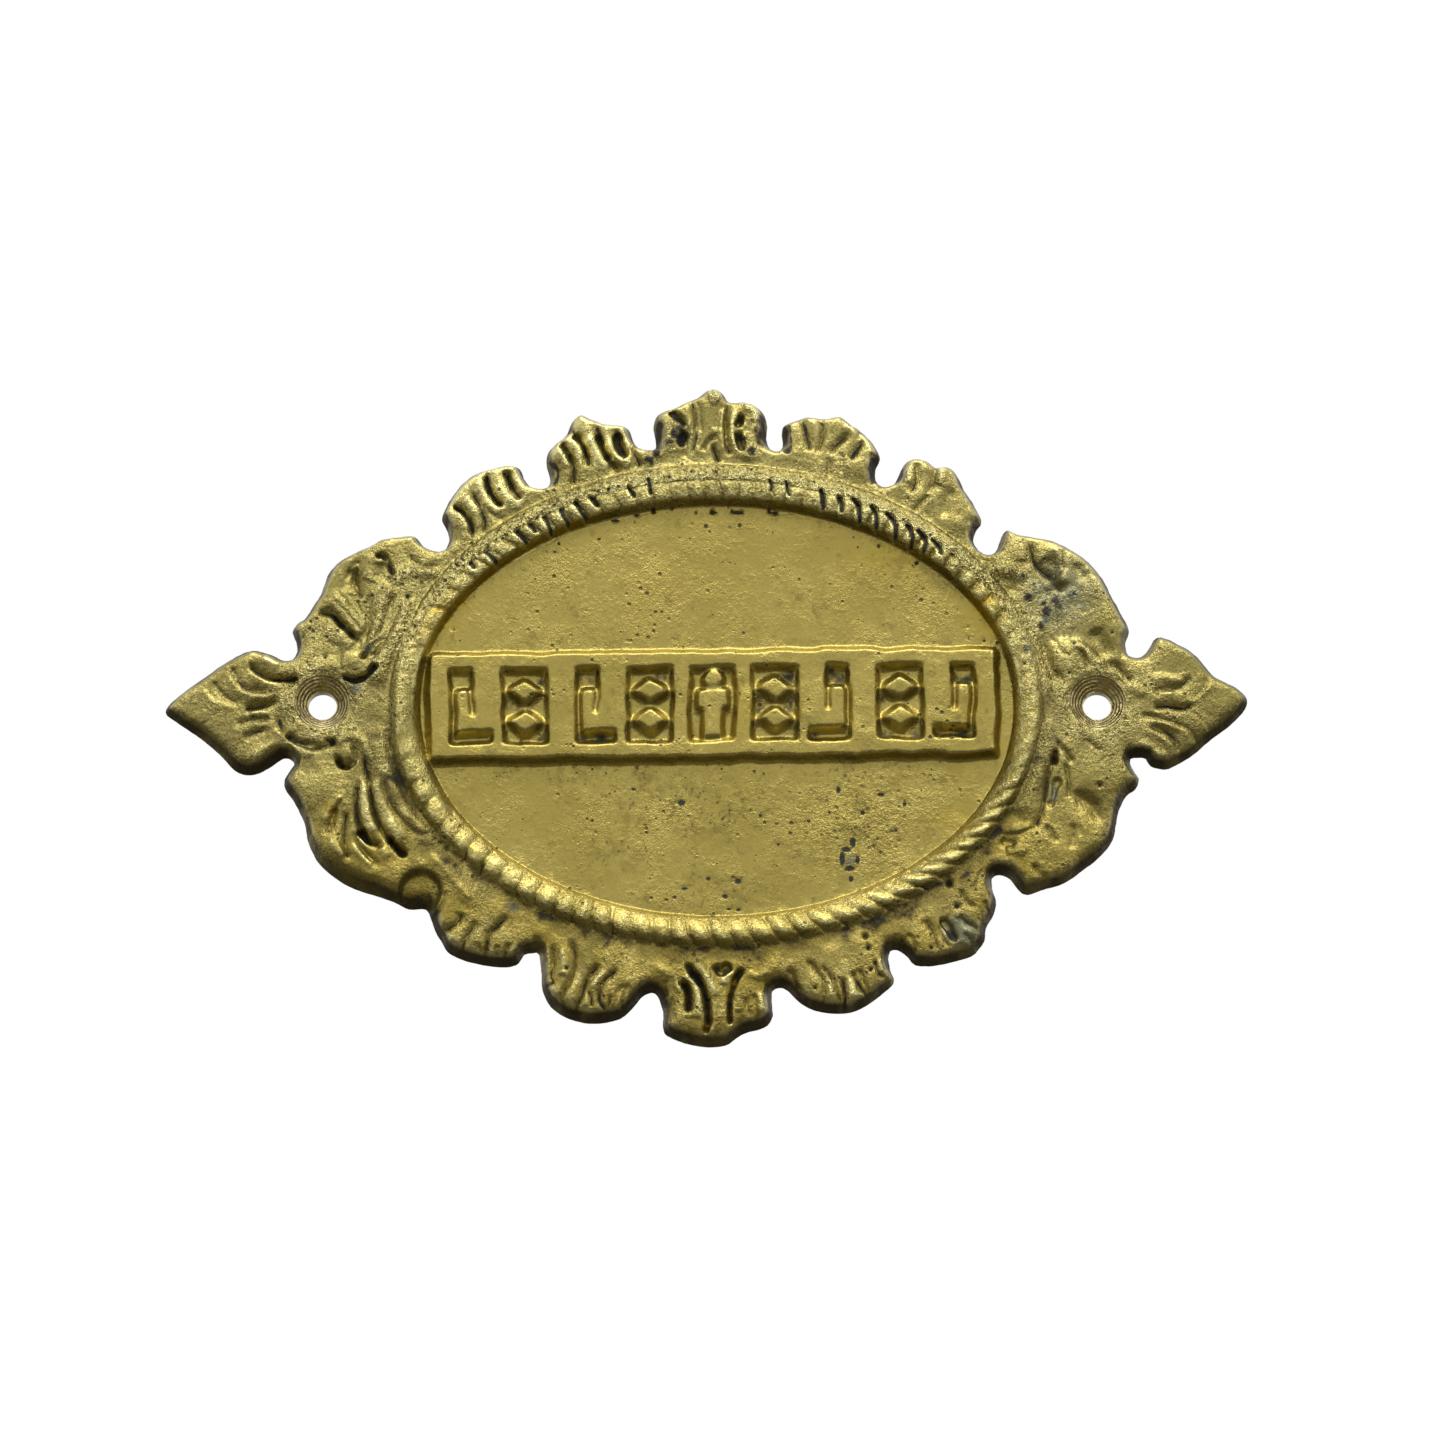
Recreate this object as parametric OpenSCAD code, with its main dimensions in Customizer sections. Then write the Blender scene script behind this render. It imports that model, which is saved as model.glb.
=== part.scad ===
/* [Plate] */
// Overall width of the plate, from leaf tip to leaf tip
plate_w = 180; // [150:1:220]
// Overall height of the plate
plate_h = 114; // [98:1:138]
// Thickness of the lobed border at its rim
edge_t = 5; // [4:0.1:6.2]
// Thickness at the two leaf tips
tip_t = 3.4; // [2.8:0.1:3.9]
// Thickness of the sunken oval field
field_t = 3; // [2.4:0.1:3.6]

/* [Rope ring] */
// Width of the oval ring over its outer foot
ring_w = 109; // [96:1:131]
// Height of the oval ring over its outer foot
ring_h = 83; // [76:1:96]
// Width of the rope across its foot
rope_w = 5.6; // [4.6:0.1:6.8]
// Height of the rope crest above the back
rope_t = 6.5; // [5.6:0.1:7.4]
// Number of strands around the ring
strands = 84; // [60:2:96]
// Thickness in the gutter just outside the rope
gutter_t = 3.6; // [3:0.1:3.9]

/* [Raised strip] */
// Length of the raised strip
strip_w = 94.6; // [79:0.2:98]
// Height of the raised strip
strip_h = 18.8; // [15.6:0.2:22.6]
// Height of the strip face above the back
strip_t = 5; // [4.2:0.1:6]
// Lean of the strip, as the casting has it, in degrees
strip_tilt = 0.8; // [0:0.1:2]

/* [Screw holes] */
// Bore of each screw hole
bore_d = 4.8; // [4:0.1:5.8]
// Rim of each countersink
sink_d = 9.2; // [7.6:0.1:11]
// Distance from the foot of the ring to each screw hole
hole_gap = 10; // [8.4:0.1:12]
// Width of the boss around each hole
boss_d = 12.4; // [11.6:0.1:14]
// Thickness of the boss
boss_t = 4; // [3.4:0.1:4.8]

/* [Hidden] */

// Middle of the ring and of the pair of holes; the casting is a little off centre
ring_mid = [1.8, 0.5];
hole_mid = [0.65, 1.3];
strip_mid = [1.1, 0.9];
// Size of the ring that the border points below are set out around
ring_0 = [109, 83];
// Size of the border that the points below are set out for
plate_0 = [180.2, 113.7];
// Groove points are set out this much too high up the plate
groove_shift = [0, -1.3];
// Draft of the outer walls: how far the wall leans in, and then the rim
wall_lean = 1.0;
rim_lean = 1.7;
rim_round = 0.7;
eps = 0.02;

hole_x = ring_w / 2 + hole_gap;
bore_r = bore_d / 2;
sink_r = sink_d / 2;

// Outline of the back, clockwise from the left leaf tip
left_leaf_top = [
    [-90, 0.7], [-88, 3.2], [-84, 6.2], [-80, 9.1], [-77, 10.8], [-75, 11.1], [-72.8, 10.5],
    [-70.5, 9.4], [-69, 9.6], [-68.2, 11]
];
upper_left_corner = [
    [-68.4, 12.8], [-69, 14.3], [-68.4, 15.6], [-67, 16.7], [-65.5, 19.1], [-64.4, 20.8],
    [-63.2, 24.3], [-62, 26], [-60, 27.5], [-57, 28.9], [-54, 30.4], [-51, 30.9],
    [-48.7, 30.9], [-47.4, 29.4], [-45.5, 28.4], [-43.8, 28.6]
];
upper_left_lobes = [
    [-43, 30.2], [-43.3, 32.2], [-44.2, 34], [-43.7, 35.8], [-42, 38.8], [-40, 41],
    [-37.5, 42.4], [-34.8, 43.1], [-32.2, 43.3], [-31.1, 42.6], [-30.6, 41.2], [-29.6, 39.8],
    [-28, 39.3], [-26.5, 39.7], [-26.1, 41.2], [-26.7, 43.4], [-26.6, 45.6], [-25, 47.5],
    [-23.4, 48.9], [-22.6, 51], [-21.2, 52.2], [-19.5, 51.6], [-17.5, 50.8], [-14.5, 50.4],
    [-13, 49.8], [-12.4, 48], [-11.4, 46.6], [-9.8, 46.2]
];
top_crest = [
    [-8.5, 46.5], [-8.5, 48.4], [-8.8, 50.4], [-8, 52.4], [-5.8, 53.3], [-3.5, 54.5],
    [-1.6, 55.2], [0, 56.5], [1.5, 56.9], [2.8, 56.1], [4, 54.5], [6.2, 54.6],
    [8.2, 54], [9.6, 52.6], [10.2, 50.5], [10.1, 48], [10.8, 46.3], [12, 46]
];
upper_right_lobes = [
    [12.9, 46.8], [12.8, 49], [13, 50.3], [14.6, 51.1], [17, 51.9], [20, 51.6],
    [22.5, 52], [24.4, 50.5], [26, 49.4], [28, 47.3], [29.2, 44.8], [28.5, 43.3],
    [28.4, 41], [29.5, 39.7], [31.2, 39.9], [32.2, 41.4], [33.2, 43.5], [34.5, 44.5],
    [37, 44.2], [38.6, 43], [40.4, 43.1], [42, 41.9], [43.2, 39.3], [44.8, 36.6],
    [46.1, 33.8], [45.2, 32.2], [44.7, 30.2], [45.4, 28.8], [47, 27.8]
];
upper_right_corner = [
    [48.5, 28.3], [49.3, 30.3], [49.9, 31.7], [50.7, 32.1], [52.2, 31.3], [55, 30.8],
    [58, 30.1], [61, 28.7], [64, 26.5], [66.2, 23.7], [68, 20], [70, 16.2],
    [70.6, 14.4], [70, 12.8], [70.1, 11], [71, 10]
];
right_leaf = [
    [72.6, 10], [73.9, 11.4], [74.8, 13], [76, 13.5], [78.5, 12.4], [81, 10.9],
    [83, 8.8], [84.7, 6.7], [88, 4.9], [89.7, 3.5], [90.2, 2.3], [89.4, 0.6],
    [87.2, -1.7], [84, -4.1], [81.5, -6.4], [79.6, -7.7], [77.6, -8.8], [76.3, -9.2],
    [73.9, -8.6], [73.2, -7.4], [72, -7.2]
];
lower_right_corner = [
    [70.6, -7.4], [70.7, -9], [71.9, -11.1], [71.3, -12.7], [69.9, -13.8], [68.6, -16.2],
    [68, -19], [67.4, -21.6], [65.5, -24.1], [62.5, -26.6], [59.2, -28.9], [56, -29.9],
    [53.2, -30.8], [51.9, -30.1], [50.4, -28.1], [48.6, -27.4]
];
lower_right_lobes = [
    [47.4, -28], [47.4, -30], [48, -32.2], [47.6, -34.3], [46.3, -36.6], [46, -38.8],
    [45, -40.3], [43.8, -41.4], [40, -42.5], [37, -43], [34.6, -42.8], [33.4, -41.5],
    [31.8, -40.3], [30.5, -40.4], [30.1, -42], [30.5, -44], [31, -45.9], [29.2, -47.7],
    [26.6, -49.7], [24, -50.9], [21, -51.1], [17.8, -50.5], [15.4, -49.1], [13.5, -47.2],
    [12.2, -46.7]
];
bottom_crest = [
    [10.9, -47.4], [10.9, -50], [10.9, -52], [9.6, -53.5], [6.6, -54.4], [5, -55.3],
    [3.3, -56.5], [0.5, -56.8], [-2.5, -56.4], [-5.8, -55.2], [-7, -53.8], [-7, -51],
    [-7.9, -48.2], [-9, -47.5]
];
lower_left_lobes = [
    [-10.6, -48.3], [-12.1, -50.2], [-14, -51.9], [-17, -52.7], [-20, -52.7], [-23.2, -51.7],
    [-25.5, -50], [-26.9, -47.4], [-27.1, -44.5], [-27.6, -41], [-28.6, -40.8], [-30.1, -41.1],
    [-31, -42.6], [-33, -43.2], [-36.5, -42.9], [-40, -42], [-42.6, -40.7], [-43.6, -39],
    [-44.8, -37], [-45.5, -34.8], [-46.4, -33.3]
];
lower_left_corner = [
    [-49.2, -33.3], [-51.4, -32.2], [-54.3, -31.1], [-57.5, -30.1], [-60.5, -28.6],
    [-63.7, -26], [-65.2, -23.6], [-66.1, -21.3], [-66.6, -18.7], [-68.2, -15.2],
    [-69.8, -12.9], [-70, -11.2], [-69, -9.4], [-68.4, -8.4]
];
left_leaf_bottom = [
    [-69, -7.5], [-70.2, -7.3], [-72, -8.5], [-74.3, -9.9], [-76.5, -10.2], [-78.4, -9.4],
    [-80.5, -7.1], [-84, -4], [-88, -1.2]
];
outline_cw = concat(
    left_leaf_top, upper_left_corner, upper_left_lobes, top_crest, upper_right_lobes,
    upper_right_corner, right_leaf, lower_right_corner, lower_right_lobes, bottom_crest,
    lower_left_lobes, lower_left_corner, left_leaf_bottom
);

// Each groove is a width, a depth and its points from the inner end to the rim
leaf_grooves = [
    [1.3, 0.8, [[-82, 6.5], [-81.2, 5], [-80, 3.7], [-78.3, 2.7]]],
    [1.4, 0.9, [[-79, 9], [-78.4, 7.5], [-77.5, 5.9], [-76, 4.9], [-73.5, 4.6]]],
    [1.8, 1.6, [[-76, 10], [-75.5, 8.7], [-74, 7.6], [-72, 6.8], [-68.4, 6.8]]],
    [1.6, 1.5, [[-77, 1.6], [-75, 1.9], [-73.5, 2.3], [-71.9, 2.9]]],
    [1.3, 0.9, [[-78, -1.2], [-77, -0.6], [-75, -0.2], [-73, -0.3]]],
    [1.4, 0.9, [[-77, -3.6], [-75, -2.5], [-73, -2.1]]],
    [1.0, 0.5, [[-84, 6], [-82.3, 4], [-80.4, 2], [-82, 0.2], [-85, -2]]],
    [1.5, 1.3, [[-71.2, 1], [-70.6, -1.5], [-69.2, -3.6], [-67, -5], [-64.5, -5.3], [-62, -4.6]]],
    [1.6, 1.5, [[74.2, 1.7], [76, 2.1], [77.5, 2], [79, 1.8], [80.3, 2.1]]],
    [1.3, 0.9, [[71.5, 0.6], [74.5, 0.2], [76, -0.3], [78, -0.9], [80.3, -2], [81.5, -3.8]]],
    [1.9, 1.1, [[73.4, -1.3], [75.8, -2], [77, -2.7], [78, -3.7], [78.5, -5.2]]],
    [1.3, 1.0, [[74, 4.7], [76, 4.9], [78, 5.2], [79.3, 5.8], [80.2, 6.8]]],
    [1.1, 0.6, [[82.8, 7.2], [83.3, 6.2], [82.5, 4.8], [81, 3.3]]],
    [1.1, 0.6, [[80, 1.3], [81.5, 0.6], [83, -1], [84.2, -2.4]]],
    [1.5, 1.2, [[66.5, 9.6], [68.5, 9], [69.5, 7.8], [70.5, 6.8]]]
];
corner_grooves = [
    [1.8, 1.6, [[-57, 12], [-59, 14.5], [-61, 17], [-62, 18], [-64, 18.2]]],
    [1.8, 1.4, [[-56.5, 14], [-56.4, 18], [-57.7, 21], [-58.5, 24], [-58, 26.7]]],
    [1.4, 1.0, [[-54.6, 15], [-54, 18], [-53, 20.4]]],
    [1.7, 1.6, [[-54.6, 28.2], [-53.5, 27.6], [-53, 26.2], [-52.2, 24.4]]],
    [1.6, 1.5, [[-49.6, 27.6], [-48.5, 26.6], [-47.2, 25.9], [-45, 25.8]]],
    [1.7, 1.7, [[-61, 12], [-61.3, 9.3], [-60.7, 6.9], [-58.5, 6], [-56.3, 7], [-54.8, 9.5]]],
    [1.6, 1.5, [[-62.6, -4.6], [-62.4, -6.4], [-61.2, -8.2], [-59.6, -8.7], [-58, -7.6], [-58.4, -5.6]]],
    [1.8, 1.6, [[-57.8, -9.4], [-57.9, -12], [-57.9, -15], [-57.5, -18.2], [-56.1, -21], [-54.2, -22.1]]],
    [1.6, 1.5, [[-56.2, -9], [-55.6, -13.5], [-54.8, -17], [-53.5, -20], [-52.3, -21.8], [-50.2, -23.8]]],
    [1.5, 0.9, [[-53, -15.6], [-51.5, -17.5], [-50, -18.7], [-47.8, -20.4]]],
    [1.5, 1.2, [[-60.4, -17], [-60.1, -19.5], [-60, -21.5], [-59.3, -24.4]]],
    [1.6, 1.2, [[-58.2, -19], [-57.9, -20.8], [-57.2, -22.3], [-56, -23.5], [-54.5, -26]]],
    [1.5, 1.0, [[-60, -13.4], [-62, -15.5], [-63.2, -17], [-63.8, -19.2]]],
    [1.5, 1.2, [[-50.6, -29], [-50.5, -27.3], [-49.2, -25.8], [-47.3, -25.2]]],
    [2.0, 1.8, [[54.2, 29.4], [54.6, 27.5], [55.5, 26], [57, 24.8], [58.3, 23.2], [60, 20.4]]],
    [1.5, 1.2, [[59.6, 28.4], [60, 26.5], [60, 24.8]]],
    [2.2, 1.2, [[61.3, 27], [62.4, 25], [63.6, 23]]],
    [1.4, 0.9, [[65.2, 24.8], [65.4, 22.8], [65.4, 21]]],
    [2.6, 1.4, [[63.4, 17.8], [65, 15], [66, 12.5], [66.9, 10]]],
    [1.3, 1.0, [[61.5, 15.8], [61.1, 14], [60.8, 12.2]]],
    [1.5, 1.2, [[61.8, 12.4], [63, 10.8], [63.4, 8.9]]],
    [1.8, 1.6, [[57.4, -8.4], [57, -10.5], [56.6, -12.8], [56.3, -14.8], [55.8, -17], [54.4, -18.8]]],
    [2.0, 1.2, [[58.4, -10.4], [58, -12.5], [57.5, -15.4]]],
    [1.2, 1.0, [[59.8, -8], [60, -10.5], [60.1, -13]]],
    [2.6, 1.4, [[61, -12.4], [62.5, -15], [64, -17], [65.2, -18.8]]],
    [1.6, 1.3, [[56.1, -18.4], [57, -20.4], [58.2, -21.4]]],
    [1.7, 1.2, [[60, -17.8], [60.3, -20], [60.1, -22.4]]],
    [1.5, 1.3, [[48.4, -20.6], [49.5, -22], [51.5, -22.4], [53.2, -21.7]]],
    [1.7, 1.4, [[54, -25.2], [55, -26.6], [56.4, -27.6]]]
];
upper_lobe_grooves = [
    [1.5, 1.3, [[-41.9, 36.5], [-40.8, 35.8], [-39.7, 34.5], [-39, 32.7], [-39.1, 31]]],
    [1.5, 1.3, [[-39.2, 39], [-38.3, 37.6], [-37.7, 36.2], [-37.2, 34.6], [-37, 31.4]]],
    [1.6, 1.4, [[-37, 41.8], [-36.2, 40.6], [-36, 39], [-34.9, 37.6], [-33.6, 36.3]]],
    [1.5, 1.2, [[-33.4, 42.4], [-32.9, 41], [-32.2, 39.8], [-30.8, 38.2]]],
    [1.5, 1.3, [[-24.5, 47.8], [-23, 46.3], [-22.3, 44.8], [-22, 43.3], [-22.7, 39.8]]],
    [1.5, 1.3, [[-22.1, 49.6], [-21.3, 48.8], [-20.6, 47.2], [-19.9, 45.2], [-19.8, 43.2]]],
    [1.5, 1.3, [[-18.5, 50.6], [-18, 48.8], [-17.5, 46.8], [-16.7, 45], [-15.7, 43.9]]],
    [1.5, 1.3, [[-15, 49.7], [-14.8, 48], [-14.1, 46.5], [-12.6, 45], [-11, 43.5]]],
    [1.6, 1.5, [[-5.8, 53.6], [-4.5, 52.2], [-3.6, 50.6]]],
    [2.2, 1.6, [[-4.2, 49.4], [-4.1, 47.8], [-3, 46.2]]],
    [1.5, 1.4, [[-2.4, 54.9], [-1.2, 53], [-1, 51], [-1.4, 49], [-2.8, 45]]],
    [1.5, 1.2, [[3.2, 55], [2.3, 53], [2, 51], [2.2, 48.8]]],
    [2.0, 1.3, [[1, 49], [1.5, 46.5], [2.3, 44.2]]],
    [1.8, 1.5, [[5.8, 52.4], [5.2, 51], [5.2, 48.8], [6.2, 46]]],
    [1.4, 1.2, [[8, 53], [7.2, 51], [7, 49], [7.6, 47.2]]],
    [1.4, 1.3, [[16, 51.5], [16.8, 49.6], [17, 48]]],
    [1.5, 1.3, [[19.3, 51.4], [19.7, 50], [19.5, 48.5], [18.7, 46.8]]],
    [1.5, 1.3, [[24, 49.6], [22.6, 48.2], [21.6, 46.6]]],
    [1.5, 1.3, [[26.6, 48], [25.4, 46], [24, 44.6]]],
    [1.6, 1.2, [[20.2, 44.6], [20.6, 43], [21, 41.4]]],
    [1.5, 1.1, [[22.3, 45.4], [22.8, 43.8], [23.2, 42]]],
    [1.6, 1.4, [[35, 44.2], [35.2, 42.5], [35.1, 41], [34.4, 39.4]]],
    [1.6, 1.4, [[38.2, 43], [38.3, 41.5], [37.6, 39], [36, 36.9], [34.3, 35.8]]],
    [1.5, 1.2, [[43.6, 37.8], [41.8, 36.2], [40.4, 34.2]]],
    [1.5, 1.1, [[41.4, 40.8], [40.2, 38.4], [38.6, 36.4]]]
];
lower_lobe_grooves = [
    [1.5, 1.3, [[-42.9, -28.6], [-43.1, -31.5], [-43.9, -34]]],
    [2.3, 1.6, [[-40, -32], [-40.6, -34], [-41.8, -35.7], [-43.2, -37.2]]],
    [1.5, 1.2, [[-37.4, -34.8], [-38.8, -36.8], [-39.7, -38.3], [-40.5, -40.2]]],
    [1.5, 1.2, [[-32.3, -33.8], [-34.5, -35.5], [-35.8, -36.8], [-36.3, -40.6]]],
    [1.4, 1.1, [[-31.6, -38], [-32.5, -39.3], [-32.9, -41]]],
    [1.4, 1.1, [[-25.2, -40], [-25.3, -43], [-25.6, -46]]],
    [1.6, 1.2, [[-22.6, -39.4], [-21.5, -41.5], [-21.5, -43.5], [-22.5, -45.5], [-23.8, -48.6]]],
    [1.6, 1.5, [[-17.2, -42.2], [-19, -44], [-20, -46], [-20.4, -48], [-21.4, -51]]],
    [1.5, 1.3, [[-14.4, -43.6], [-16, -44.8], [-17.2, -46], [-17.6, -49.8]]],
    [1.5, 1.2, [[-12.2, -44.6], [-13.5, -46.5], [-14.4, -49.4]]],
    [1.3, 1.3, [[-19.5, -46.8], [-19, -48.5], [-18.7, -50]]],
    [2.0, 1.8, [[-4.8, -44], [-4.1, -45.8], [-3.2, -47.4], [-2.8, -50.2]]],
    [2.0, 2.0, [[-3, -42.6], [-2, -44.3], [-0.6, -46], [0.2, -48.3], [0.6, -50.5], [0, -54.4]]],
    [1.8, 1.8, [[6.4, -42.9], [5, -44.3], [4.4, -46.5], [4.1, -49], [4, -51.5], [4.6, -53.6]]],
    [2.6, 2.0, [[1, -43], [2.3, -43.9], [3.6, -42.8]]],
    [1.8, 1.1, [[-5.9, -47], [-5.4, -49.5], [-5.2, -51.6]]],
    [2.0, 1.0, [[-2.9, -51], [-2.4, -52.8], [-2.2, -54.9]]],
    [2.0, 1.1, [[5.4, -49.4], [5.9, -51.5], [6.4, -53.6]]],
    [1.4, 1.1, [[6.4, -46.8], [6.8, -49.5], [8, -52.4]]],
    [1.6, 1.2, [[8.2, -46.4], [8.4, -48.5], [9, -51.4]]],
    [1.8, 0.8, [[1.4, -52.6], [2, -54.8], [2.2, -56.6]]],
    [1.5, 1.3, [[13.2, -43.4], [15, -45], [15.5, -46.5], [16.4, -48.8]]],
    [1.6, 1.4, [[16.2, -42.4], [18, -43.8], [19.2, -45], [19.6, -46.5], [19.2, -49.2]]],
    [1.5, 1.2, [[19.2, -42.6], [20.5, -44.5], [21.3, -46], [22.1, -49.6]]],
    [1.3, 1.2, [[22.2, -45], [22.8, -47], [23, -49.6]]],
    [1.6, 1.5, [[24.3, -44.2], [25, -46], [25.7, -47], [27, -47.8]]],
    [1.4, 1.1, [[25.2, -42.8], [26, -44.8], [26.8, -46.6]]],
    [1.4, 1.1, [[27.5, -41.2], [28, -43], [29, -45]]],
    [1.4, 1.1, [[35.6, -36.4], [37, -38.5], [37.6, -40.8]]],
    [1.5, 1.3, [[38.3, -34.2], [38.8, -36], [38.4, -38], [38.9, -40.6]]],
    [1.9, 1.7, [[39, -35.4], [40.5, -37.5], [41, -38.7], [42, -40]]],
    [1.7, 1.5, [[41.5, -34], [43, -36], [44.5, -37], [45.6, -38]]],
    [1.5, 1.2, [[45.4, -26.4], [44.7, -28.3], [43.8, -30.2]]],
    [1.5, 1.2, [[42.2, -29.6], [42.6, -31.6], [44, -33], [45.6, -33.2]]]
];

function unit(v) = v / max(norm(v), 0.0001);
function left_of(v) = [-v.y, v.x];
function wrap(i, n) = (i % n + n) % n;
// Point on a smooth curve through four points, u from 0 to 1 between b and c
function smooth_point(a, b, c, d, u) =
    0.5 * ((2 * b) + (c - a) * u + (2 * a - 5 * b + 4 * c - d) * u * u
    + (3 * b - a - 3 * c + d) * u * u * u);
function smooth_loop(pts, steps) = [
    for (i = [0 : len(pts) - 1], k = [0 : steps - 1])
        smooth_point(
            pts[wrap(i - 1, len(pts))], pts[i],
            pts[wrap(i + 1, len(pts))], pts[wrap(i + 2, len(pts))], k / steps)
];
function reversed(v) = [for (i = [len(v) - 1 : -1 : 0]) v[i]];
// Foot of the ring in the direction of a point, for a ring of the given size
function ring_foot(p, size) =
    let (d = p - ring_mid, k = norm([2 * d.x / size.x, 2 * d.y / size.y])) ring_mid + d / k;
// Carries a border point from the set-out size to the size asked for
reach = [
    (plate_w - ring_w) / (plate_0.x - ring_0.x),
    (plate_h - ring_h) / (plate_0.y - ring_0.y)
];
function on_border(p) =
    let (
        d = [(p.x - ring_mid.x) * ring_w / ring_0.x, (p.y - ring_mid.y) * ring_h / ring_0.y],
        now = ring_foot(ring_mid + d, [ring_w, ring_h]),
        was = ring_foot(p, ring_0)
    )
    now + [(p.x - was.x) * reach.x, (p.y - was.y) * reach.y];
function ellipse_at(half, a) = ring_mid + [half.x * cos(a), half.y * sin(a)];

// Solid through a stack of rings, each anticlockwise seen from the far end
module loft(rings) {
    n = len(rings[0]);
    m = len(rings);
    polyhedron(
        points = [for (r = rings) for (p = r) p],
        faces = concat(
            [[for (i = [0 : n - 1]) i]],
            [[for (i = [n - 1 : -1 : 0]) (m - 1) * n + i]],
            [for (k = [0 : m - 2], i = [0 : n - 1])
                let (j = (i + 1) % n) [k * n + i, (k + 1) * n + i, (k + 1) * n + j]],
            [for (k = [0 : m - 2], i = [0 : n - 1])
                let (j = (i + 1) % n) [k * n + i, (k + 1) * n + j, k * n + j]]
        ),
        convexity = 12
    );
}
// Closed sweep: the last ring joins the first
module closed_loft(rings) {
    n = len(rings[0]);
    m = len(rings);
    polyhedron(
        points = [for (r = rings) for (p = r) p],
        faces = concat(
            [for (k = [0 : m - 1], i = [0 : n - 1])
                let (j = (i + 1) % n, q = (k + 1) % m) [k * n + i, q * n + i, q * n + j]],
            [for (k = [0 : m - 1], i = [0 : n - 1])
                let (j = (i + 1) % n, q = (k + 1) % m) [k * n + i, q * n + j, k * n + j]]
        ),
        convexity = 12
    );
}
// Oval frustum around the middle of the ring
module oval(half_low, z_low, half_high, z_high, count = 120) {
    loft([
        [for (i = [0 : count - 1]) let (p = ellipse_at(half_low, 360 * i / count)) [p.x, p.y, z_low]],
        [for (i = [0 : count - 1]) let (p = ellipse_at(half_high, 360 * i / count)) [p.x, p.y, z_high]]
    ]);
}
// Slab of the whole outline with leaning walls and an eased rim
module border_slab() {
    loop = [for (p = reversed(smooth_loop(outline_cw, 2))) on_border(p)];
    n = len(loop);
    inward = [for (i = [0 : n - 1]) left_of(unit(loop[wrap(i + 3, n)] - loop[wrap(i - 3, n)]))];
    loft([
        [for (i = [0 : n - 1]) [loop[i].x, loop[i].y, 0]],
        [for (i = [0 : n - 1])
            let (p = loop[i] + wall_lean * inward[i]) [p.x, p.y, edge_t - rim_round]],
        [for (i = [0 : n - 1]) let (p = loop[i] + rim_lean * inward[i]) [p.x, p.y, edge_t]]
    ]);
}
// V-shaped groove that fades at both ends
module groove(width, depth, pts) {
    path = [for (p = pts) on_border(p + groove_shift)];
    n = len(path);
    rise = 0.6;
    surface = edge_t - (edge_t - tip_t) * min(1, max(0, (abs(path[0].x) - 52) / 34));
    loft([
        for (i = [0 : n - 1])
            let (
                along = unit(path[min(i + 1, n - 1)] - path[max(i - 1, 0)]),
                side = left_of(along),
                full = i == 0 || i == n - 1 ? 0.25 : 1,
                a = path[i] + side * width * full / 2,
                b = path[i] - side * width * full / 2
            )
            [
                [a.x, a.y, surface + rise], [b.x, b.y, surface + rise],
                [path[i].x, path[i].y, surface - depth * full]
            ]
    ]);
}
// Plane cut that thins the plate from the corners out to each leaf tip
module end_slope(side) {
    run = 34;
    fall = atan((edge_t - tip_t) / run);
    translate([side * (52 * plate_w / plate_0.x), 0, edge_t])
        rotate([0, side * fall, 0])
            translate([side > 0 ? 0 : -80, -80, 0]) cube([80, 160, 20]);
}
// Laid rope around the field: slanted strands with a notch between each pair
module rope() {
    half = [ring_w / 2 - rope_w / 2, ring_h / 2 - rope_w / 2];
    steps = strands * 2;
    slant = 360 / strands * 0.42;
    foot = field_t - 0.6;
    closed_loft([
        for (k = [0 : steps - 1])
            let (full = k % 2 == 0 ? 1 : 0.74)
            concat(
                [for (j = [0 : 6])
                    let (
                        across = 30 * j,
                        a = 360 * k / steps + slant * (j / 6 - 0.5),
                        mid = ellipse_at(half, a),
                        out = unit([cos(a) / half.x, sin(a) / half.y]),
                        r = -cos(across) * rope_w / 2 * (0.5 + full / 2),
                        p = mid + out * r
                    )
                    [p.x, p.y, gutter_t - 0.3 + (rope_t - gutter_t + 0.3) * sin(across) * full]],
                [for (s = [1, -1])
                    let (
                        a = 360 * k / steps + slant * 0.5 * s,
                        out = unit([cos(a) / half.x, sin(a) / half.y]),
                        p = ellipse_at(half, a) + out * s * rope_w / 2
                    )
                    [p.x, p.y, foot]]
            )
    ]);
}
// Bar with sloping sides, from corner to corner of its face
module bar(x0, y0, x1, y1) {
    d = 0.55;
    low = field_t - 0.5;
    loft([
        [[x0 - d, y0 - d, low], [x1 + d, y0 - d, low], [x1 + d, y1 + d, low], [x0 - d, y1 + d, low]],
        [[x0, y0, strip_t], [x1, y0, strip_t], [x1, y1, strip_t], [x0, y1, strip_t]]
    ]);
}
// Squared key that winds inward, in a cell of the given width and height
module key(w, h) {
    bar(-w * 0.5, -h / 2, -w * 0.23, h / 2);
    bar(w * 0.2, -h * 0.3, w * 0.44, h / 2);
    bar(-w * 0.08, -h * 0.3, w * 0.44, -h * 0.12);
    bar(-w * 0.08, -h * 0.3, w * 0.07, h * 0.2);
}
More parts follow.
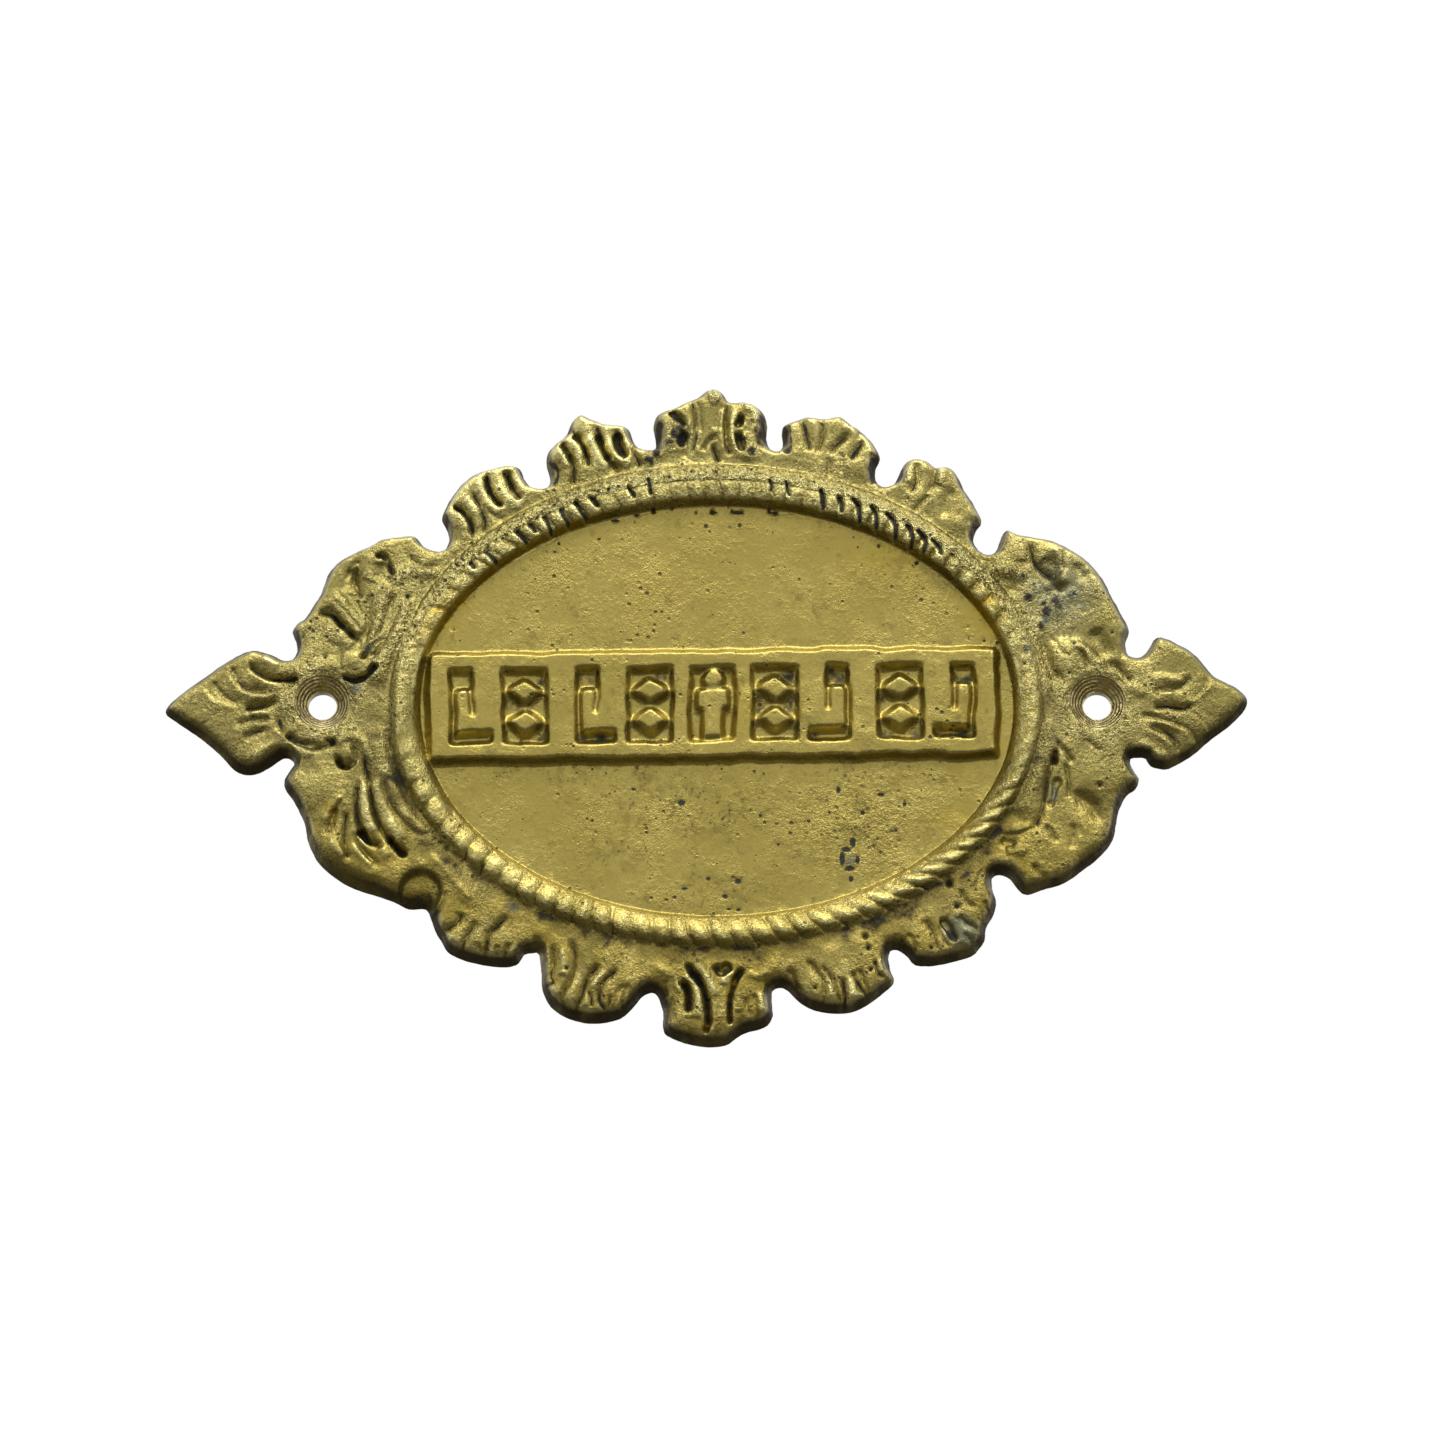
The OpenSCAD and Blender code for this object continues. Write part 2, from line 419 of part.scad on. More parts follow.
// Four-sided stud between two uprights
module lozenge(w, h) {
    low = field_t - 0.5;
    for (k = [-1, 1]) {
        y = k * h * 0.19;
        loft([
            [[-w * 0.4, y, low], [0, y - h * 0.22, low], [w * 0.4, y, low], [0, y + h * 0.22, low]],
            [[-w * 0.2, y, strip_t], [0, y - h * 0.12, strip_t], [w * 0.2, y, strip_t],
                [0, y + h * 0.12, strip_t]]
        ]);
    }
    bar(-w / 2, -h / 2, -w / 2 + w * 0.1, h / 2);
    bar(w / 2 - w * 0.1, -h / 2, w / 2, h / 2);
}
// Plain standing figure
module figure(w, h) {
    translate([0, h * 0.33, field_t - 0.5])
        cylinder(r1 = w * 0.17, r2 = w * 0.13, h = strip_t - field_t + 0.5, $fn = 16);
    bar(-w * 0.2, -h * 0.04, w * 0.2, h * 0.17);
    bar(-w * 0.13, -h * 0.42, -w * 0.03, 0);
    bar(w * 0.03, -h * 0.42, w * 0.13, 0);
    bar(-w / 2, -h / 2, -w / 2 + w * 0.1, h / 2);
    bar(w / 2 - w * 0.1, -h / 2, w / 2, h / 2);
}
// Raised strip across the field: two rails with nine cells between them
module strip() {
    rail = strip_h * 0.115;
    face_h = strip_h - 1.1;
    face_w = strip_w - 1.1;
    cell = face_w / 9;
    inner = face_h - 2 * rail;
    translate([strip_mid.x, strip_mid.y, 0]) rotate([0, 0, strip_tilt]) {
        bar(-face_w / 2, face_h / 2 - rail, face_w / 2, face_h / 2);
        bar(-face_w / 2, -face_h / 2, face_w / 2, -face_h / 2 + rail);
        for (i = [0 : 8]) translate([(i - 4) * cell, 0, 0]) {
            if (i == 4) figure(cell, inner);
            else if (i % 2 == 1) lozenge(cell, inner);
            else mirror([i > 4 ? 1 : 0, 0, 0]) key(cell, inner);
        }
    }
}
// Round boss under a screw head
module boss(side) {
    translate([hole_mid.x + side * hole_x, hole_mid.y, 0])
        cylinder(r1 = boss_d / 2 + 0.6, r2 = boss_d / 2, h = boss_t, $fn = 40);
}
// Space above the face of a boss
module boss_clear(side) {
    translate([hole_mid.x + side * hole_x, hole_mid.y, boss_t])
        cylinder(r1 = boss_d / 2 - 0.4, r2 = boss_d / 2 + 2, h = 4, $fn = 40);
}
// Countersunk hole, open at the back
module screw_hole(side) {
    sink = (sink_d - bore_d) / 2;
    translate([hole_mid.x + side * hole_x, hole_mid.y, 0]) {
        translate([0, 0, -1]) cylinder(r = bore_r, h = boss_t + 2, $fn = 64);
        translate([0, 0, boss_t - sink]) cylinder(r1 = bore_r, r2 = sink_r, h = sink, $fn = 64);
        translate([0, 0, boss_t - eps]) cylinder(r = sink_r, h = 4, $fn = 64);
    }
}
// Everything on the front except the screw holes, cast in one
module relief() {
    gutter = [ring_w / 2, ring_h / 2];
    bank = [ring_w / 2 + 2.6, ring_h / 2 + 2.2];
    field = [ring_w / 2 - rope_w / 2, ring_h / 2 - rope_w / 2];
    resize([plate_w, plate_h, 0]) {
        difference() {
            union() {
                difference() {
                    border_slab();
                    end_slope(1);
                    end_slope(-1);
                    oval(gutter, gutter_t, bank, edge_t + 0.4);
                    for (g = concat(leaf_grooves, corner_grooves)) groove(g[0], g[1], g[2]);
                    for (g = concat(upper_lobe_grooves, lower_lobe_grooves)) groove(g[0], g[1], g[2]);
                }
                boss(1);
                boss(-1);
            }
            oval(field, field_t, field, edge_t + 3);
            boss_clear(1);
            boss_clear(-1);
        }
        rope();
        strip();
    }
}
module sign_plate() {
    color([0.62, 0.56, 0.27]) rotate([90, 0, 0]) difference() {
        relief();
        screw_hole(1);
        screw_hole(-1);
    }
}

sign_plate();
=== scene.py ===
import math
import time

import bpy
import numpy as np
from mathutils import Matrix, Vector


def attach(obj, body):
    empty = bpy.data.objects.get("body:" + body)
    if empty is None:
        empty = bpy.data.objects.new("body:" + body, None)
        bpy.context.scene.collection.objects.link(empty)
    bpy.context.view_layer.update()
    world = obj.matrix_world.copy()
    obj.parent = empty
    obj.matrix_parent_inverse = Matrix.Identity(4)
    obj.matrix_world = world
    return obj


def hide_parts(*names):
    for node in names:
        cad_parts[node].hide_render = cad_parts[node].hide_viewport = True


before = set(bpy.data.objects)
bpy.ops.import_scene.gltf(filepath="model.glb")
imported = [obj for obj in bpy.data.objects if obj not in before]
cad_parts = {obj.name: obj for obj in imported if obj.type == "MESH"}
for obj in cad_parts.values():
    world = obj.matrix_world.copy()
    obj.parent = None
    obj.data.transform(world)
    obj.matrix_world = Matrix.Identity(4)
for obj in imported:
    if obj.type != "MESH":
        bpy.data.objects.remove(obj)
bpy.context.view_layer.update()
started = time.time()


def report(text):
    print("%5.1f s  %s" % (time.time() - started, text))


report("frame loaded")

# All modelling is done at 1 unit = 1 mm, x right, z up, the back on y = 0 and the front towards -y.
# The finished mesh is brought to metres at the end.


def deselectAll():
    if bpy.context.mode != "OBJECT":
        bpy.ops.object.mode_set(mode="OBJECT")
    bpy.ops.object.select_all(action="DESELECT")


def pick(thing):
    deselectAll()
    thing.select_set(True)
    bpy.context.view_layer.objects.active = thing


def resizeBy(k):
    bpy.ops.transform.resize(value=(k, k, k), center_override=(0, 0, 0))
    bpy.ops.object.transform_apply(location=True, rotation=True, scale=True)


def applyModifier(thing, kind, **settings):
    pick(thing)
    step = thing.modifiers.new(kind.lower(), kind)
    for key, value in settings.items():
        setattr(step, key, value)
    bpy.ops.object.modifier_apply(modifier=step.name)


def selectFaces(thing, wanted):
    # Leaves the mesh in edit mode, with only the wanted faces selected
    bpy.ops.object.mode_set(mode="EDIT")
    bpy.ops.mesh.select_mode(type="FACE")
    bpy.ops.mesh.select_all(action="DESELECT")
    bpy.ops.object.mode_set(mode="OBJECT")
    thing.data.polygons.foreach_set("select", wanted)
    bpy.ops.object.mode_set(mode="EDIT")


def smoothCurve(points, step, closed=False):
    # Curve through given points, sampled about every step mm
    p = np.array(points, float)
    n = len(p)
    pad = np.concatenate([p[-1:], p, p[:2]]) if closed else np.concatenate(
        [2 * p[:1] - p[1:2], p, 2 * p[-1:] - p[-2:-1]])
    out = []
    for i in range(n if closed else n - 1):
        a, b, c, d = pad[i:i + 4]
        parts = max(2, int(np.hypot(*(c - b)) / step + 0.5))
        u = (np.arange(parts) / parts)[:, None]
        out.append(0.5 * (2 * b + (c - a) * u + (2 * a - 5 * b + 4 * c - d) * u ** 2
                          + (3 * b - a - 3 * c + d) * u ** 3))
    if not closed:
        out.append(p[-1:])
    return np.concatenate(out)


# Outline of the back, clockwise from the left leaf tip
outline = {
    "leftLeafTop": [
        (-90, 0.7), (-88, 3.2), (-84, 6.2), (-80, 9.1), (-77, 10.8), (-75, 11.1), (-72.8, 10.5),
        (-70.5, 9.4), (-69, 9.6), (-68.2, 11),
    ],
    "upperLeftCorner": [
        (-68.4, 12.8), (-69, 14.3), (-68.4, 15.6), (-67, 16.7), (-65.5, 19.1), (-64.4, 20.8),
        (-63.2, 24.3), (-62, 26), (-60, 27.5), (-57, 28.9), (-54, 30.4), (-51, 30.9), (-48.7, 30.9),
        (-47.4, 29.4), (-45.5, 28.4), (-43.8, 28.6),
    ],
    "upperLeftLobes": [
        (-43, 30.2), (-43.3, 32.2), (-44.2, 34), (-43.7, 35.8), (-42, 38.8), (-40, 41), (-37.5, 42.4),
        (-34.8, 43.1), (-32.2, 43.3), (-31.1, 42.6), (-30.6, 41.2), (-29.6, 39.8), (-28, 39.3),
        (-26.5, 39.7), (-26.1, 41.2), (-26.7, 43.4), (-26.6, 45.6), (-25, 47.5), (-23.4, 48.9),
        (-22.6, 51), (-21.2, 52.2), (-19.5, 51.6), (-17.5, 50.8), (-14.5, 50.4), (-13, 49.8),
        (-12.4, 48), (-11.4, 46.6), (-9.8, 46.2),
    ],
    "topCrest": [
        (-8.5, 46.5), (-8.5, 48.4), (-8.8, 50.4), (-8, 52.4), (-5.8, 53.3), (-3.5, 54.5), (-1.6, 55.2),
        (0, 56.5), (1.5, 56.9), (2.8, 56.1), (4, 54.5), (6.2, 54.6), (8.2, 54), (9.6, 52.6),
        (10.2, 50.5), (10.1, 48), (10.8, 46.3), (12, 46),
    ],
    "upperRightLobes": [
        (12.9, 46.8), (12.8, 49), (13, 50.3), (14.6, 51.1), (17, 51.9), (20, 51.6), (22.5, 52),
        (24.4, 50.5), (26, 49.4), (28, 47.3), (29.2, 44.8), (28.5, 43.3), (28.4, 41), (29.5, 39.7),
        (31.2, 39.9), (32.2, 41.4), (33.2, 43.5), (34.5, 44.5), (37, 44.2), (38.6, 43), (40.4, 43.1),
        (42, 41.9), (43.2, 39.3), (44.8, 36.6), (46.1, 33.8), (45.2, 32.2), (44.7, 30.2), (45.4, 28.8),
        (47, 27.8),
    ],
    "upperRightCorner": [
        (48.5, 28.3), (49.3, 30.3), (49.9, 31.7), (50.7, 32.1), (52.2, 31.3), (55, 30.8), (58, 30.1),
        (61, 28.7), (64, 26.5), (66.2, 23.7), (68, 20), (70, 16.2), (70.6, 14.4), (70, 12.8),
        (70.1, 11), (71, 10),
    ],
    "rightLeaf": [
        (72.6, 10), (73.9, 11.4), (74.8, 13), (76, 13.5), (78.5, 12.4), (81, 10.9), (83, 8.8),
        (84.7, 6.7), (88, 4.9), (89.7, 3.5), (90.2, 2.3), (89.4, 0.6), (87.2, -1.7), (84, -4.1),
        (81.5, -6.4), (79.6, -7.7), (77.6, -8.8), (76.3, -9.2), (73.9, -8.6), (73.2, -7.4), (72, -7.2),
    ],
    "lowerRightCorner": [
        (70.6, -7.4), (70.7, -9), (71.9, -11.1), (71.3, -12.7), (69.9, -13.8), (68.6, -16.2),
        (68, -19), (67.4, -21.6), (65.5, -24.1), (62.5, -26.6), (59.2, -28.9), (56, -29.9),
        (53.2, -30.8), (51.9, -30.1), (50.4, -28.1), (48.6, -27.4),
    ],
    "lowerRightLobes": [
        (47.4, -28), (47.4, -30), (48, -32.2), (47.6, -34.3), (46.3, -36.6), (46, -38.8), (45, -40.3),
        (43.8, -41.4), (40, -42.5), (37, -43), (34.6, -42.8), (33.4, -41.5), (31.8, -40.3),
        (30.5, -40.4), (30.1, -42), (30.5, -44), (31, -45.9), (29.2, -47.7), (26.6, -49.7),
        (24, -50.9), (21, -51.1), (17.8, -50.5), (15.4, -49.1), (13.5, -47.2), (12.2, -46.7),
    ],
    "bottomCrest": [
        (10.9, -47.4), (10.9, -50), (10.9, -52), (9.6, -53.5), (6.6, -54.4), (5, -55.3), (3.3, -56.5),
        (0.5, -56.8), (-2.5, -56.4), (-5.8, -55.2), (-7, -53.8), (-7, -51), (-7.9, -48.2), (-9, -47.5),
    ],
    "lowerLeftLobes": [
        (-10.6, -48.3), (-12.1, -50.2), (-14, -51.9), (-17, -52.7), (-20, -52.7), (-23.2, -51.7),
        (-25.5, -50), (-26.9, -47.4), (-27.1, -44.5), (-27.6, -41), (-28.6, -40.8), (-30.1, -41.1),
        (-31, -42.6), (-33, -43.2), (-36.5, -42.9), (-40, -42), (-42.6, -40.7), (-43.6, -39),
        (-44.8, -37), (-45.5, -34.8), (-46.4, -33.3),
    ],
    "lowerLeftCorner": [
        (-49.2, -33.3), (-51.4, -32.2), (-54.3, -31.1), (-57.5, -30.1), (-60.5, -28.6), (-63.7, -26),
        (-65.2, -23.6), (-66.1, -21.3), (-66.6, -18.7), (-68.2, -15.2), (-69.8, -12.9), (-70, -11.2),
        (-69, -9.4), (-68.4, -8.4),
    ],
    "leftLeafBottom": [
        (-69, -7.5), (-70.2, -7.3), (-72, -8.5), (-74.3, -9.9), (-76.5, -10.2), (-78.4, -9.4),
        (-80.5, -7.1), (-84, -4), (-88, -1.2),
    ],
}

# Ground grid, in mm, that every height and finish map is drawn on
ground = {"cell": 0.1, "halfX": 92.0, "halfZ": 59.0}
xs = np.arange(-ground["halfX"], ground["halfX"] + 0.05, ground["cell"])
zs = np.arange(-ground["halfZ"], ground["halfZ"] + 0.05, ground["cell"])
gx, gz = np.meshgrid(xs, zs)


def ease(low, high, v):
    t = np.clip((v - low) / (high - low), 0, 1)
    return t * t * (3 - 2 * t)


def bell(v, width, power=2):
    # 1 at 0, falling away over the width
    return np.exp(-(v / width) ** power)


def tapered(share, length):
    # Fades a stroke in and out over that share of it
    return ease(0, length, share) * ease(0, length, 1 - share)


def raiseTo(area, spot, value):
    area[spot] = np.maximum(area[spot], value)


def patchy(size, seed, octaves=1, stretch=(1, 1), x=gx, z=gz):
    # Smooth unevenness from -1 to 1, size in mm
    total, weight, scale = 0, 0, 1.0
    for k in range(octaves):
        rng = np.random.default_rng(seed + 31 * k)
        sx, sz = size * stretch[0] / scale, size * stretch[1] / scale
        nx, nz = int(2 * ground["halfX"] / sx) + 4, int(2 * ground["halfZ"] / sz) + 4
        knots = rng.random((nz, nx)) * 2 - 1
        u = np.clip((x + ground["halfX"]) / sx, 0, nx - 1.01)
        v = np.clip((z + ground["halfZ"]) / sz, 0, nz - 1.01)
        iu, iv = u.astype(int), v.astype(int)
        fu, fv = u - iu, v - iv
        fu, fv = fu * fu * (3 - 2 * fu), fv * fv * (3 - 2 * fv)
        low = knots[iv, iu] * (1 - fu) + knots[iv, iu + 1] * fu
        high = knots[iv + 1, iu] * (1 - fu) + knots[iv + 1, iu + 1] * fu
        total = total + (low * (1 - fv) + high * fv) / scale
        weight += 1 / scale
        scale *= 2
    return total / weight


def soften(a, radius):
    # Three box blurs, close to a round brush of that radius in mm
    r = max(1, int(radius / ground["cell"] / 1.7))
    for axis in (0, 1):
        for _ in range(3):
            pad = [(r + 1, r) if k == axis else (0, 0) for k in (0, 1)]
            c = np.cumsum(np.pad(a, pad, mode="edge"), axis=axis)
            a = (c[2 * r + 1:] - c[:-2 * r - 1] if axis == 0
                 else c[:, 2 * r + 1:] - c[:, :-2 * r - 1]) / (2 * r + 1)
    return a


def window(low, high):
    # Slices of the grid that cover a box
    i0 = max(0, int((low[0] + ground["halfX"]) / ground["cell"]))
    i1 = min(len(xs), int((high[0] + ground["halfX"]) / ground["cell"]) + 2)
    j0 = max(0, int((low[1] + ground["halfZ"]) / ground["cell"]))
    j1 = min(len(zs), int((high[1] + ground["halfZ"]) / ground["cell"]) + 2)
    return slice(j0, j1), slice(i0, i1)


def toSegment(spot, a, b):
    # Distance of each cell to a straight stretch, where along it, and on which side
    d = b - a
    ex, ez = gx[spot] - a[0], gz[spot] - a[1]
    u = np.clip((ex * d[0] + ez * d[1]) / (d @ d + 1e-9), 0, 1)
    ex, ez = ex - u * d[0], ez - u * d[1]
    return np.hypot(ex, ez), u, np.sign(d[0] * ez - d[1] * ex)


def along(points, reach, step=0.6):
    # Window of the grid round a stroke, with distance, share of its length and side for each cell
    path = smoothCurve(points, step)
    spot = window(path.min(0) - reach, path.max(0) + reach)
    best = np.full(gx[spot].shape, 1e9)
    share, side = np.zeros(best.shape), np.zeros(best.shape)
    for k in range(len(path) - 1):
        far, u, hand = toSegment(spot, path[k], path[k + 1])
        near = far < best
        best = np.where(near, far, best)
        share = np.where(near, (k + u) / (len(path) - 1), share)
        side = np.where(near, hand, side)
    return spot, best, share, side


def insideOutline():
    # 1 inside the outline, 0 outside, row by row
    mask = np.zeros_like(gx)
    a, b = loop, np.roll(loop, -1, axis=0)
    for j, z in enumerate(zs):
        hit = (a[:, 1] <= z) != (b[:, 1] <= z)
        at = np.sort(a[hit, 0] + (z - a[hit, 1]) / (b[hit, 1] - a[hit, 1]) * (b[hit, 0] - a[hit, 0]))
        for x0, x1 in zip(at[::2], at[1::2]):
            i0, i1 = np.searchsorted(xs, (x0, x1))
            mask[j, i0:i1] = 1
    return mask


def fromOutline(reach):
    # mm from each cell in to the outline, up to the reach
    far = np.full(gx.shape, reach)
    for a, b in zip(loop, np.roll(loop, -1, axis=0)):
        spot = window(np.minimum(a, b) - reach, np.maximum(a, b) + reach)
        far[spot] = np.minimum(far[spot], toSegment(spot, a, b)[0])
    return far * insideOutline()


def sampleMap(a, x, z):
    u = np.clip((x + ground["halfX"]) / ground["cell"], 0, a.shape[1] - 1.001)
    v = np.clip((z + ground["halfZ"]) / ground["cell"], 0, a.shape[0] - 1.001)
    i, j = u.astype(int), v.astype(int)
    fu, fv = u - i, v - j
    return ((a[j, i] * (1 - fu) + a[j, i + 1] * fu) * (1 - fv)
            + (a[j + 1, i] * (1 - fu) + a[j + 1, i + 1] * fu) * fv)


slab = {
    "edge": 5.0,          # thickness at the rim
    "voxel": 0.34,
    "stripZone": (-48.5, 50.5, -10.5, 12.5),
    "calmField": (1.8, 0.5, 49.0, 34.0),     # middle and half sizes of the part that needs no finer faces
    "budget": 185000,     # triangles of the finished casting
}

loop = smoothCurve([p for run in outline.values() for p in run], 0.7, closed=True)
rimDistance = fromOutline(5.0)
report("outline measured")


def readPoints(thing):
    co = np.zeros(len(thing.data.vertices) * 3)
    thing.data.vertices.foreach_get("co", co)
    return co.reshape(-1, 3)


def faceCentres(thing):
    co = np.zeros(len(thing.data.polygons) * 3)
    thing.data.polygons.foreach_get("center", co)
    return co.reshape(-1, 3)


def makeSlab():
    # The outline is filled, drawn up to its thickness and remeshed to even faces
    deselectAll()
    bpy.ops.mesh.primitive_circle_add(vertices=len(loop), radius=50, fill_type="NGON")
    thing = bpy.context.object
    thing.name = "signPlate"
    for v, (x, z) in zip(thing.data.vertices, loop):
        v.co = (x, 0, z)
    bpy.ops.object.mode_set(mode="EDIT")
    bpy.ops.mesh.select_mode(type="FACE")
    bpy.ops.mesh.select_all(action="SELECT")
    bpy.ops.mesh.extrude_region_move(TRANSFORM_OT_translate={"value": (0, -slab["edge"], 0)})
    bpy.ops.mesh.select_all(action="SELECT")
    bpy.ops.mesh.normals_make_consistent(inside=False)
    bpy.ops.object.mode_set(mode="OBJECT")
    thing.data.remesh_voxel_size = slab["voxel"]
    thing.data.use_remesh_fix_poles = False
    bpy.ops.object.voxel_remesh()
    # The flat back becomes one face again
    backFaces = [f.normal.y > 0.9 and f.center.y > -0.2 for f in thing.data.polygons]
    thing.data.polygons.foreach_set("select", backFaces)
    bpy.ops.object.mode_set(mode="EDIT")
    bpy.ops.mesh.delete(type="FACE")
    bpy.ops.mesh.select_mode(type="EDGE")
    bpy.ops.mesh.select_non_manifold(extend=False, use_wire=False, use_multi_face=False,
                                     use_non_contiguous=False, use_verts=False)
    bpy.ops.mesh.edge_face_add()
    bpy.ops.mesh.select_mode(type="FACE")
    bpy.ops.object.mode_set(mode="OBJECT")
    # The raised strip, the rope and the border have crisp edges, so their ground gets finer faces
    x0, x1, z0, z1 = slab["stripZone"]
    cx, cz, a, b = slab["calmField"]
    x, y, z = faceCentres(thing).T
    fine = (x > x0) & (x < x1) & (z > z0) & (z < z1) | (np.hypot((x - cx) / a, (z - cz) / b) > 1)
    thing.data.polygons.foreach_set("select", fine & (y < -4))
    bpy.ops.object.mode_set(mode="EDIT")
    bpy.ops.mesh.subdivide(number_cuts=1)
    bpy.ops.object.mode_set(mode="OBJECT")
    return thing


plate = makeSlab()
report("slab of %d points" % len(plate.data.vertices))


# Grooves between the reeds of the leaves: width, depth, then points from the inner end to the rim.
# They and the crests are set out on the face, this much above their place on the back.
grooveShift = (0, -1.35)

leafGrooves = [
    (1.3, 0.8, (-82, 6.5), (-81.2, 5), (-80, 3.7), (-78.3, 2.7)),
    (1.4, 0.9, (-79, 9), (-78.4, 7.5), (-77.5, 5.9), (-76, 4.9), (-73.5, 4.6)),
    (1.8, 1.6, (-76, 10), (-75.5, 8.7), (-74, 7.6), (-72, 6.8), (-68.4, 6.8)),
    (1.6, 1.5, (-77, 1.6), (-75, 1.9), (-73.5, 2.3), (-71.9, 2.9)),
    (1.3, 0.9, (-78, -1.2), (-77, -0.6), (-75, -0.2), (-73, -0.3)),
    (1.4, 0.9, (-77, -3.6), (-75, -2.5), (-73, -2.1)),
    (1, 0.22, (-84, 6), (-82.3, 4), (-80.4, 2), (-82, 0.2), (-85, -2)),
    (1.5, 1.3, (-71.2, 1), (-70.6, -1.5), (-69.2, -3.6), (-67, -5), (-64.5, -5.3), (-62, -4.6)),
    (1.6, 1.5, (74.2, 1.7), (76, 2.1), (77.5, 2), (79, 1.8), (80.3, 2.1)),
    (1.3, 0.9, (71.5, 0.6), (74.5, 0.2), (76, -0.3), (78, -0.9), (80.3, -2), (81.5, -3.8)),
    (1.9, 1.1, (73.4, -1.3), (75.8, -2), (77, -2.7), (78, -3.7), (78.5, -5.2)),
    (1.3, 1, (74, 4.7), (76, 4.9), (78, 5.2), (79.3, 5.8), (80.2, 6.8)),
    (1.1, 0.6, (82.8, 7.2), (83.3, 6.2), (82.5, 4.8), (81, 3.3)),
    (1.1, 0.6, (80, 1.3), (81.5, 0.6), (83, -1), (84.2, -2.4)),
    (1.5, 1.2, (66.5, 9.6), (68.5, 9), (69.5, 7.8), (70.5, 6.8)),
]

